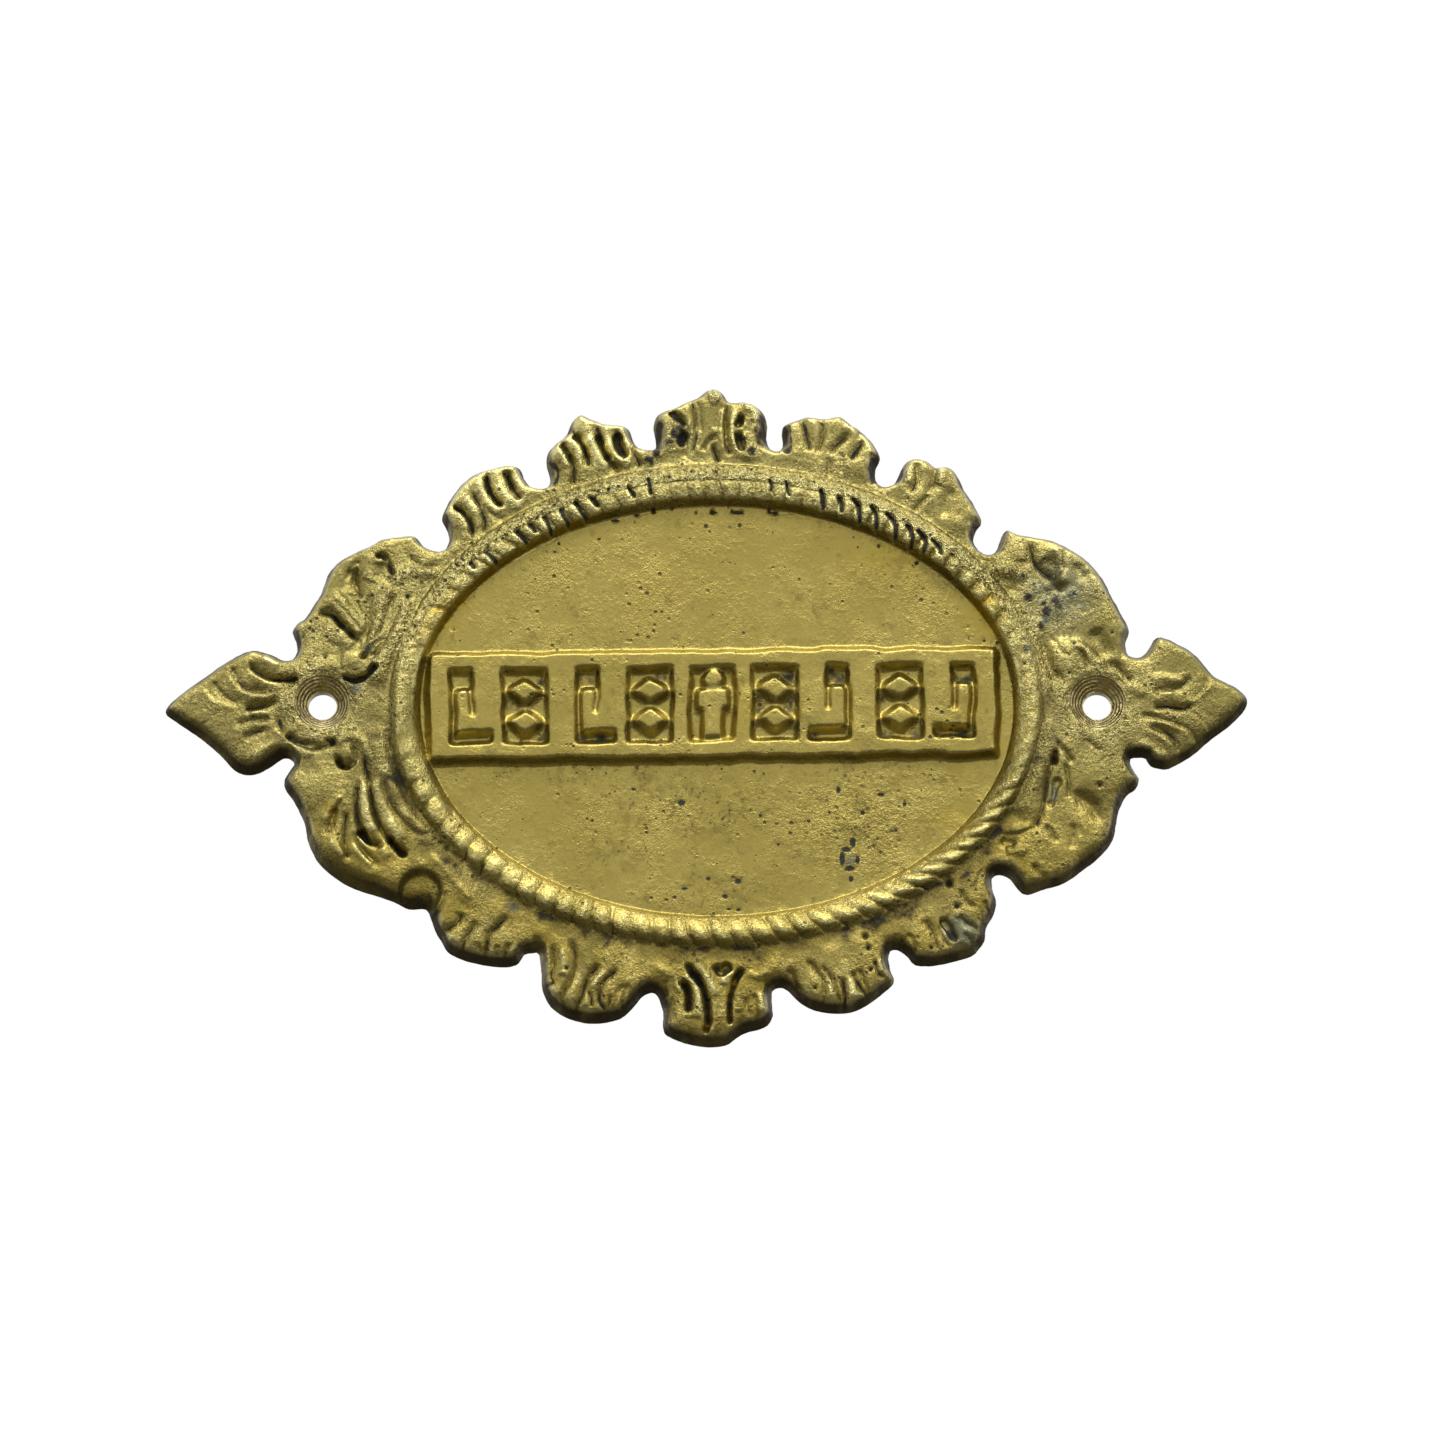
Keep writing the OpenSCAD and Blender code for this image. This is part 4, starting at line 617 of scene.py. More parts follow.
# Grooves of the lobes and the two crests, at their true places
lobeGrooves = [
    # upper left lobes
    (1.0, 0.9, (-42.2, 29.1), (-41.6, 30.3), (-42.3, 31.8), (-43.5, 32.8)),
    (1.3, 1.2, (-39.1, 29.8), (-39, 30.8), (-39.1, 31.4), (-39.4, 32.4), (-40.2, 33.6), (-41, 34.6),
     (-41.9, 35.1)),
    (1.2, 1.1, (-37.3, 30.1), (-37, 31.4), (-36.9, 32.6), (-37.3, 33.8), (-37.7, 35.1), (-38.4, 36.4),
     (-38.8, 37)),
    (1.5, 1.3, (-33.9, 35.3), (-34.7, 35.8), (-35.3, 36.5), (-35.9, 37.3), (-36.3, 38.3), (-36.7, 39.6),
     (-36.7, 40.6)),
    (1.4, 1.3, (-30.8, 36.4), (-31.4, 37.1), (-32.1, 38.1), (-32.6, 39), (-33, 39.9), (-33.3, 40.8)),
    (0.8, 0.5, (-32, 31.6), (-32.6, 32.3), (-33.7, 32.7), (-34.7, 33.2), (-35.5, 33.6), (-36.3, 34.2)),
    (1.8, 1.3, (-25.8, 39), (-25.2, 39.6), (-24.8, 40.8), (-24.9, 41.8), (-25.6, 42.9), (-26.3, 43.7)),
    (1.3, 1.2, (-22.6, 38.8), (-22.2, 39.8), (-22.1, 42), (-22.5, 43.3), (-22.9, 44.3), (-23.4, 45.1),
     (-24.1, 46.1)),
    (1.4, 1.3, (-19.7, 41.8), (-19.7, 43.3), (-20, 44.3), (-20.3, 45.3), (-20.9, 46.4), (-21.3, 47.2),
     (-21.9, 47.8),
     (-22.3, 48.8)),
    (1.6, 1.4, (-13.8, 41.4), (-15, 42.2), (-16.1, 43.3), (-16.7, 44.3), (-17.3, 45.5), (-17.8, 46.8),
     (-18, 47.8),
     (-18.2, 48.9)),
    (2.2, 1.6, (-13, 43.9), (-14, 44.7), (-14.5, 45.7), (-14.7, 47), (-15, 48.2)),
    (1.1, 1.0, (-11, 42), (-11.4, 43.3), (-11.9, 44.3), (-12.3, 45.3)),
    # top crest
    (1.2, 1.1, (-2.7, 44), (-2, 45.8), (-1.6, 47.4), (-1.5, 49.4), (-1.8, 51.4), (-2.3, 53.2)),
    (0.9, 0.9, (-1.5, 45), (-1, 47), (-0.8, 49.6), (-0.9, 51.6), (-1.4, 53.4)),
    (1.1, 1.2, (2.2, 43), (1.6, 44.4), (1.2, 45.6)),
    (1.0, 1.0, (-0.9, 45), (-0.1, 46), (0.6, 46.9), (1.4, 47.4)),
    (1.1, 1.1, (4.3, 43.9), (3.7, 45.3), (3.3, 47), (3.2, 49), (3.2, 51), (3.5, 52.6)),
    (1.4, 0.7, (1.9, 48.6), (2, 50.4), (2.5, 52.6)),
    (1.0, 0.8, (-3.9, 43.6), (-3.4, 45), (-3.1, 46.8), (-3.1, 48.8)),
    # upper right lobes
    (1.3, 1.2, (17.5, 44.6), (17.1, 46.7), (16.9, 47.4), (16.8, 48.2), (16.5, 49.3), (16.2, 50.1)),
    (1.1, 1.0, (18.4, 44.2), (19.1, 46.1), (19.4, 47.2), (19.6, 48), (19.6, 49.1), (19.3, 49.9)),
    (1.3, 1.1, (20.6, 44.4), (22.2, 46.3), (22.9, 47), (23.5, 47.6)),
    (1.0, 0.8, (25.6, 46.9), (25.6, 48.4)),
    (1.3, 1.2, (24.2, 43.4), (25.3, 45.1), (26, 46.2)),
    (0.9, 0.7, (20.6, 40.6), (20.6, 43)),
    (0.9, 0.6, (22.4, 41), (22.8, 42.5), (22.6, 44.2)),
    (1.3, 1.0, (34, 37.4), (35, 39), (35.2, 40.6), (35.2, 42.4)),
    (1.3, 0.9, (36.6, 37.4), (38, 39), (38.1, 40), (38.5, 42)),
    (0.8, 0.8, (34.3, 34.5), (35.1, 34.9), (35.8, 35.6), (36.4, 36.2), (37.1, 37)),
    # lower left lobes
    (1.0, 0.9, (-43.1, -31.2), (-43.3, -32.6), (-43.8, -34), (-44.5, -35), (-45.2, -35.4)),
    (1.7, 1.1, (-40.3, -35), (-40.7, -36.4), (-41.6, -37.3), (-42.8, -38)),
    (1.0, 0.9, (-37.7, -36.4), (-38.5, -37.6), (-39.2, -38.7), (-39.7, -39.8), (-40.1, -41)),
    (1.1, 1.1, (-32.5, -35.5), (-33.9, -36.8), (-34.9, -37.8), (-35.8, -38.5), (-36, -39.7),
     (-36.2, -41), (-36.4, -41.8)),
    (0.7, 0.6, (-37.7, -40), (-37.5, -41), (-36.9, -41.5)),
    (0.8, 0.7, (-34.4, -40.6), (-34.5, -42)),
    (0.9, 0.9, (-32.5, -40.2), (-32.9, -41.4), (-33.2, -42.2)),
    (1.2, 1.0, (-25.2, -40.2), (-25.2, -42.6), (-25.3, -44.4), (-25.5, -46), (-25.1, -46.9),
     (-26.5, -47.2)),
    (1.0, 1.0, (-22.6, -39.5), (-21.8, -41), (-21.5, -42.3), (-21.6, -44), (-22, -45.6), (-22.7, -47.1),
     (-23.5, -48.6),
     (-23.7, -49.7), (-23.2, -50.6)),
    (1.2, 1.2, (-17.4, -43.7), (-18.6, -45), (-19.5, -46), (-19.9, -47.3), (-20.4, -49), (-20.9, -50.1),
     (-21.4, -51.4)),
    (1.1, 1.1, (-14.3, -44.6), (-15.4, -45.4), (-16.4, -46.2), (-17.2, -47.3), (-17.5, -48.6),
     (-17.5, -50.1),
     (-16.8, -51.2)),
    (0.8, 1.0, (-19.5, -48.4), (-18.9, -49.5), (-18.8, -50.8)),
    (0.8, 1.0, (-15.8, -49), (-15.8, -50.1), (-16, -50.9)),
    (1.0, 0.8, (-13.5, -47.3), (-14.5, -48.8), (-14.9, -50.3), (-15.2, -50.9)),
    (0.9, 0.9, (-12.8, -47.1), (-13.3, -48.4), (-13.8, -49.8), (-13.5, -51.1)),
    (0.7, 0.7, (-45.6, -31.2), (-45.6, -32.4), (-45.6, -33.6)),
    # bottom crest
    (1.2, 1.3, (-2.7, -44.2), (-2.3, -45.3), (-1.7, -45.8), (-1, -46.8), (-0.4, -48), (0, -49.5),
     (0.2, -51), (0.4, -53),
     (0, -54.9)),
    (1.2, 1.2, (-3.8, -46.9), (-3.2, -47.7), (-2.8, -49), (-2.7, -50.5), (-2.9, -51.5)),
    (0.9, 1.0, (6, -44.9), (5.1, -46), (4.6, -47.3), (4.2, -48.8), (4, -50), (3.9, -52), (4, -53.6)),
    (0.7, 0.8, (6.6, -49.5), (6.8, -51), (7.3, -52.3)),
    (1.3, 0.6, (8, -48.8), (8.1, -51), (8.5, -52.8)),
    (1.3, 0.6, (-5.7, -49.4), (-5.6, -51.5), (-5.3, -53)),
    (1.8, 0.5, (-2.6, -52.6), (-2.4, -55.4)),
    (1.8, 0.5, (5.4, -51.6), (5.8, -54)),
    (0.8, 0.8, (-6.7, -46.6), (-6.8, -47.6), (-6.6, -48.8)),
    (2.4, 0.5, (1.8, -53), (1.9, -56.4)),
    # lower right lobes
    (1.0, 0.9, (13.2, -44.7), (14.2, -45.5), (14.8, -46.8), (15.4, -48.3), (15.9, -49.9)),
    (1.0, 0.9, (16.4, -43.1), (17.6, -44.1), (18.5, -45.3), (19.4, -46.4), (19.6, -47.7), (19.4, -50.2)),
    (0.8, 0.9, (19.1, -44), (20.4, -45.7), (21.1, -47), (21.5, -48.3), (22.1, -49.8)),
    (1.1, 1.1, (22.4, -46.1), (22.7, -47.4), (22.9, -48.7), (23, -49.8), (22.8, -50.8)),
    (1.2, 1.2, (24.2, -44.9), (24.6, -46.1), (25.3, -47.4), (26, -48.5), (26.6, -49)),
    (0.9, 1.0, (25.3, -44.6), (25.8, -46.1), (26.3, -47.4), (26.9, -48.5)),
    (0.8, 0.9, (27.8, -42.9), (28.1, -44.4), (28.5, -45.5), (29.3, -45.9)),
    (1.0, 0.9, (35.6, -36.2), (37, -37.4), (37.8, -39.2), (38.2, -41)),
    (1.0, 0.8, (41.8, -35.5), (43, -37), (45.2, -38)),
    (0.9, 0.7, (38.6, -37.2), (38.8, -39.2), (39.8, -40.6)),
    (0.8, 0.7, (42.6, -38.6), (44, -40.2)),
    (0.8, 0.8, (42.2, -31), (42.4, -32.4), (43.4, -33.6), (44.2, -34)),
    (0.7, 0.6, (43.6, -31.1), (44.4, -30.6), (45, -29.6), (45.6, -28)),
    (0.8, 0.8, (46, -33), (46.3, -34.2), (46.9, -34.9)),
    (0.9, 0.8, (33.4, -38.6), (34.2, -40), (34.6, -41.4)),
]

# Crests of the reeds, where handling keeps the metal bright, painted paler still as highlights: width,
# height, points
crests = [
    # left leaf
    (1.1, 0.3, (-84, 5.5), (-83, 4), (-82, 2.8), (-80, 2), (-78, 1.7)),
    (1.2, 0.35, (-80, 8.3), (-79, 6.5), (-78, 5), (-76.5, 4.2), (-74, 3.7), (-71.5, 3.6)),
    (1.3, 0.4, (-76.5, 10.7), (-76, 9), (-75, 7.3), (-73, 6.2), (-71, 5.8), (-69.5, 5.2)),
    (1.2, 0.3, (-74, 10.8), (-72.5, 9.6), (-71, 8.9)),
    (1.2, 0.3, (-76, 1.2), (-74, 0.9), (-72, 0.6)),
    (1.2, 0.3, (-72, -2.9), (-70, -3.6), (-68, -5), (-66, -6.6), (-65, -7)),
    (1.1, 0.3, (-76.5, -7.8), (-74, -5.8), (-72, -4.6), (-71, -4.4), (-69.5, -5), (-68.3, -6.3)),
    # round the left hole
    (1.5, 0.6, (-64, 8.8), (-62, 8), (-60.8, 6.5), (-60, 4.5), (-58.5, 3.2)),
    (1.2, 0.4, (-58.5, -2.7), (-57, -4), (-56, -5)),
    # upper left corner
    (1.3, 0.35, (-57.5, 13.5), (-59, 17), (-61, 20), (-62.5, 22)),
    # upper right corner
    (1.4, 0.5, (42, 28), (44, 26), (46, 25.5), (49, 25.3), (52, 24)),
    (1.2, 0.35, (58, 30.2), (59.2, 27), (59.3, 25), (60, 22)),
    (1.2, 0.35, (64.8, 25), (65.3, 23), (65.4, 21.5)),
    (1.3, 0.45, (61.5, 13), (63.5, 11.5), (65, 9.8), (66, 8.5)),
    # right leaf
    (1.1, 0.3, (79.7, 1.4), (81.5, 0.4), (83, -1.2), (84, -2.2)),
    (1.2, 0.35, (74.5, -0.2), (76.5, -0.9), (78.5, -1.5), (80, -2.2), (81.5, -3.6)),
    (1.2, 0.4, (73, -1.9), (74.5, -2.7), (76, -3.6), (77.3, -4.7), (78.3, -5.3)),
    (1.2, 0.35, (70.7, 5.7), (71.5, 4.8), (73, 4)),
    (1.1, 0.3, (75.2, 4.3), (78, 4.3)),
    (1.2, 0.35, (74, 6.3), (76, 7), (78.5, 6.4), (80, 7.2)),
    (1.0, 0.3, (84.3, 6.3), (83.3, 5), (82, 3.8), (80.5, 2.9), (79.5, 2.8)),
    (1.1, 0.3, (70, -5.3), (72, -4.6), (73.5, -4.9), (75, -6), (76.4, -7.3)),
    # lower right corner
    (1.3, 0.35, (50, -23), (51.5, -22.7), (53.3, -23.5)),
    (1.2, 0.35, (50, -19.5), (52, -19.6), (54.5, -18.8)),
    (1.2, 0.3, (47, -25.7), (48.5, -25), (50, -25), (51.5, -26), (52.5, -27.5)),
    # lower left corner
    (1.3, 0.4, (-60, -13.7), (-62, -16), (-63.5, -18.5)),
    (1.3, 0.4, (-62.5, -21), (-61, -22.8), (-59.5, -24)),
    (1.2, 0.35, (-58.5, -21.5), (-57.5, -23.3), (-56, -24.8), (-54.7, -25.7)),
    (1.2, 0.35, (-56, -17.8), (-54.5, -19.5)),
    (1.2, 0.35, (-53, -18), (-51, -20), (-49.5, -21.5)),
    (1.2, 0.35, (-54, -22.5), (-52.5, -24.5)),
    (1.6, 0.5, (-46.5, -24), (-44, -25.5), (-41, -29), (-38, -33)),
]

ring = {
    "middle": (1.8, 0.5),
    "inner": (49.5, 35.4),     # foot towards the field
    "innerLow": 35.8,          # the same, at the bottom of the ring
    "outer": (54.5, 42.1),     # foot towards the gutter
    "outerLow": 41.8,          # the same, at the bottom of the ring
    "lowShift": -0.5,          # the outer foot leans out to the left there
    "crest": (52.2, 38.5),
    # Section of the rope, from the inner foot (-1) to the outer foot (1), above and below
    "topAt": (-1.04, -1.0, -0.93, -0.85, -0.76, -0.68, -0.5, -0.25, 0.0, 0.09, 0.18, 0.27, 0.47, 0.7, 0.88,
              1.0),
    "top": (2.95, 3.05, 3.7, 4.8, 5.6, 6.0, 6.24, 6.36, 6.36, 6.15, 5.7, 5.95, 6.0, 5.6, 5.1, 4.72),
    "lowAt": (-1.04, -1.0, -0.9, -0.75, -0.5, -0.2, 0.1, 0.35, 0.55, 0.7, 0.82, 0.92, 1.0),
    "low": (2.95, 3.05, 3.9, 4.65, 5.4, 5.98, 6.36, 6.46, 6.3, 5.85, 5.3, 4.85, 4.66),
    # x of the notches between strands along the top and the bottom of the ring
    "topNotches": (-42.8, -40.3, -38.2, -36, -33.5, -31.2, -29, -26.7, -24, -21.3, -18.6, -15.7, -12.5,
                   -9.7, -6.4, -3.4, -0.4, 2.3, 5.3, 8.2, 11, 13.8, 16.6, 19.6, 22.6, 25.7, 28.4, 31.3,
                   34.1, 36.6, 39.1, 41.2, 43.5, 45.7, 47.7),
    "bottomNotches": (-43, -41, -38.6, -36, -33.3, -30.4, -27.5, -24.4, -21.5, -18.6, -15.6, -12.3, -9,
                      -5.9, -2.8, 0.6, 3.6, 6.9, 10.3, 13.8, 17.1, 20.4, 23.8, 27, 30, 33, 35.8, 38.4,
                      41, 43.4, 45.6, 47.6),
    "sideStrands": (11, 11),
    "ceiling": 6.49,           # nothing stands higher
}

# Slits between the pillows of the rope: width, depth, points
ropeSlits = [
    (0.8, 1.0, (19.2, 37.8), (19.5, 36.4), (19.6, 34.7)), (0.8, 0.9, (22.2, 36.4), (22.6, 35.4),
     (22.7, 34.1)),
    (0.8, 1.0, (24.6, 36.2), (25.5, 35), (25.6, 33.8), (25.7, 32.5)),
    (0.8, 0.9, (27.6, 35), (28.3, 33.8), (28.5, 32.6), (28.5, 31.4)),
    (0.9, 1.0, (30.3, 33.6), (31.3, 32.4), (31.7, 31.2), (31.7, 29.7)),
    (0.9, 1.0, (33.6, 31.6), (34.2, 30.6), (34.5, 29.4), (34.3, 28.1)),
    (0.9, 1.0, (35.4, 30.6), (36.3, 29.6), (36.7, 28.4), (36.4, 27.2)), (0.8, 0.8, (37.8, 29),
     (38.8, 28), (39.2, 26.6)),
    (0.6, 0.6, (13.4, 39.2), (13.6, 37.8), (13.9, 36.8)), (0.6, 0.6, (10.6, 39.6), (11, 38.4),
     (10.8, 37.6)),
    (0.7, 0.8, (-9.7, 39.8), (-9.4, 38.6), (-9.2, 37.2)), (0.7, 0.7, (-13, 38.4), (-12.6, 37.6),
     (-12, 36.8)),
    (0.8, 0.9, (-19.3, 36.5), (-18.8, 35.9), (-18.2, 35.1)),
    (0.8, 0.9, (-21.8, 35.5), (-21.2, 34.7), (-20.7, 33.7), (-20, 33)),
    (0.8, 0.9, (-24.2, 34.1), (-23.7, 33), (-23, 31.9)), (0.8, 0.8, (-27, 32.9), (-26.4, 32),
     (-25.9, 30.6)),
    (0.8, 0.9, (-29.4, 31.6), (-28.9, 31.1), (-28.5, 30.5)), (0.9, 1.0, (-31.5, 30.4), (-30.8, 29.6),
     (-30.1, 28.8)),
    (0.9, 0.9, (-36.6, 26.8), (-36, 26.2), (-35.1, 25.3)), (0.9, 0.9, (-39.2, 25), (-38.7, 24.2)),
    (0.6, 0.7, (-40.9, 26), (-40.4, 25.5)), (0.6, 0.7, (-41.8, 25), (-41.4, 24.6)),
]

# Painted highlights: leaf-shaped facets on the lower right of the rope, middle of each
ropeFacetHighlights = [(21.8, -36.2), (24.8, -34.9), (27.8, -33.6), (30.6, -32), (33.8, -30.2), (36.6, -27.8)]

strip = {
    "middle": (1.1, 0.9),
    "lean": 0.8,
    "size": (93.5, 17.7),
    "rail": 2.16,
    "slope": 0.75,       # how far each side leans out
    "wobble": 0.26,
    "top": 5.0,
    "cells": 9,
    # Bars in each kind of cell: left, bottom, right, top as shares of the cell
    "figure": ((-0.2, -0.04, 0.2, 0.17), (-0.13, -0.42, -0.03, 0.0), (0.03, -0.42, 0.13, 0.0)),
    "posts": ((-0.5, -0.5, -0.4, 0.5), (0.4, -0.5, 0.5, 0.5)),
    "key": ((-0.5, -0.5, -0.23, 0.5), (0.2, -0.3, 0.44, 0.5), (-0.08, -0.3, 0.44, -0.12),
            (-0.08, -0.3, 0.07, 0.2)),
}

holes = {
    "x": (-63.85, 65.15),
    "z": 1.3,
    "bore": 2.4,      # radius through the plate
    "sink": 4.6,      # radius of the countersink at the face
    "face": 4.0,      # thickness at the hole
    "level": 5.0,     # radius of the low, rough metal round it
    "passes": 9,      # of the tool that turned the countersink
}

# Wall of the rim: mm in from the outline, and share of the thickness reached there
wallAt = (0, 0.25, 0.6, 0.95, 1.25, 1.7, 2.3)
wallShare = (0.2, 0.42, 0.66, 0.85, 0.94, 0.985, 1)
# Where the wall leans in further: x, z, radius, how many times the common lean
gentleWalls = [
    (-59, -27.5, 6, 0.9), (-47, -32, 4, 1.2), (0, -55, 9, 0.3), (-20, -51, 7, 0.3), (-76, -8, 6, 0.3),
]


def spots(places, power=2.0):
    # Soft-edged oval marks
    out = np.zeros_like(gx)
    for x, z, rx, rz in places:
        spot = window((x - 3 * rx, z - 3 * rz), (x + 3 * rx, z + 3 * rz))
        far = np.hypot((gx[spot] - x) / rx, (gz[spot] - z) / rz)
        out[spot] = np.maximum(out[spot], np.exp(-far ** power))
    return out


def areas(places):
    # Soft areas with a share each
    out = np.zeros_like(gx)
    for x, z, rx, rz, share in places:
        out = np.maximum(out, share * spots([(x, z, rx, rz)]))
    return out


border = {
    "endStart": 52,       # x where the plate starts to thin
    "endLength": 34,
    "endThin": 1.55,      # mm lost over that length
    "gutter": 0.4,        # depth beside the rope
    "gutterWidth": 3.0,
    "field": 3.0,         # thickness inside the rope
}


def makeGround():
    # Border: a shallow gutter beside the rope, ends thinned towards the tips, and a rough cast skin
    px, pz = gx - ring["middle"][0], gz - ring["middle"][1]
    ratio = np.hypot(px / ring["outer"][0], pz / ring["outer"][1])
    polar = np.arctan2(pz / ring["outer"][1], px / ring["outer"][0])
    size = np.hypot(np.cos(polar) * ring["outer"][0], np.sin(polar) * ring["outer"][1])
    beyond = (ratio - 1) * size * 0.9          # about mm outside the rope
    towardsTip = np.clip((np.abs(gx) - border["endStart"]) / border["endLength"], 0, 1.1)
    height = slab["edge"] - border["endThin"] * towardsTip
    height = height - border["gutter"] * (1 - ease(0.0, border["gutterWidth"], beyond))
    height += 0.17 * patchy(6, 3, 2) + 0.11 * patchy(2.4, 5)
    return height


def addStrokes(height):
    # Reeds are the round metal left between narrow, steep grooves
    cut, dark = np.zeros_like(gx), np.zeros_like(gx)
    uneven = patchy(1.7, 53, 2)
    broken = 0.8 + 0.45 * patchy(2.2, 51, 2)
    groups = ((leafGrooves, grooveShift, 0.9), (cornerGrooves, (0, 0), 1.0), (lobeGrooves, (0, 0), 1.15))
    for strokes, (dx, dz), spread in groups:
        for width, depth, *points in strokes:
            half = spread * width
            spot, far, share, _ = along([(x + dx, z + dz) for x, z in points], max(half, 1.0))
            fade = ease(0, 0.14, share)
            near = 1 - np.clip((far - 0.05) / half, 0, 1)
            roundDrop = 1 - np.sqrt(np.clip(1 - near ** 2, 0, 1))
            raiseTo(cut, spot, depth * fade * (0.5 * roundDrop + (0.34 * spread - 0.03) * near ** 2))
            thick = 0.11 * spread * (1 + width) * (1 + 0.55 * uneven[spot])
            line = fade * min(1.1, (depth / 1.1) ** 1.3) * bell(far, thick)
            raiseTo(dark, spot, line * broken[spot])
    lift, bright, coarse = np.zeros_like(gx), np.zeros_like(gx), np.zeros_like(gx)
    for width, rise, *points in crests:
        spot, far, share, _ = along([(x, z + grooveShift[1]) for x, z in points], 1.6 * width)
        fade = tapered(share, 0.2)
        raiseTo(lift, spot, 1.1 * rise * fade * bell(far, 0.6 * width))
        # Painted highlight along each crest, on top of the wear
        raiseTo(bright, spot, 0.6 * fade * bell(far, 0.5 * width))
    for width, rise, rough, *points in swells:
        spot, far, share, _ = along(points, 1.5 * width)
        hump = tapered(share, 0.15) * bell(far, 0.62 * width, 2.4)
        raiseTo(lift, spot, rise * hump)
        raiseTo(coarse, spot, rough * hump)
        # Painted highlight along the top of each swell
        raiseTo(bright, spot, 0.62 * hump)
    for x, z, radius, rise in lumps:
        spot = window((x - 2 * radius, z - 2 * radius), (x + 2 * radius, z + 2 * radius))
        far = np.hypot(gx[spot] - x, gz[spot] - z) / radius
        lift[spot] += rise * np.exp(-far ** 2.6)
    sink = np.zeros_like(gx)
    for width, depth, *points in valleys:
        spot, far, share, _ = along(points, 1.6 * width)
        raiseTo(sink, spot, depth * tapered(share, 0.3) * bell(far, 0.5 * width))
    height = height + lift * (1 - 0.5 * np.clip(dark, 0, 1)) - sink - cut
    edge = 0.3 * patchy(1.7, 57) + 0.14 * patchy(0.7, 58)
    for width, depth, ink, *points in pockets:
        spot, far, _, _ = along(points, width + 1, 0.3)
        inside = 1 - ease(0.5 * width - 0.35, 0.5 * width + 0.35, far + edge[spot])
        height[spot] -= depth * inside
        raiseTo(dark, spot, ink * inside * np.clip(0.8 + 0.8 * uneven[spot], 0, 1))
    for x, z, radius, depth in coves:
        spot = window((x - radius, z - radius), (x + radius, z + radius))
        far = np.hypot(gx[spot] - x, gz[spot] - z) / radius
        height[spot] -= depth * ease(1.02, 0.7, far)
        # Painted shade on the lower wall of each scoop
        wall = bell(far - 0.86, 0.14) * ease(z - radius, z - 0.4 * radius, gz[spot])
        raiseTo(dark, spot, 0.7 * wall)
    return height, dark, bright, coarse


def notchAngles():
    # Turn of each notch along the crest, in order round the ring from the right end
    cx, a = ring["middle"][0], ring["crest"][0]
    top = [math.acos(max(-1, min(1, (x - cx) / a))) for x in ring["topNotches"]][::-1]
    low = [2 * math.pi - math.acos(max(-1, min(1, (x - cx) / a))) for x in ring["bottomNotches"]]
    right, left = ring["sideStrands"]
    count, knots = 0, []
    for t in top:
        knots.append((t, count))
        count += 1
    count += left - 1
    for t in low:
        knots.append((t, count))
        count += 1
    knots.append((top[0] + 2 * math.pi, count - 1 + right))
    return knots


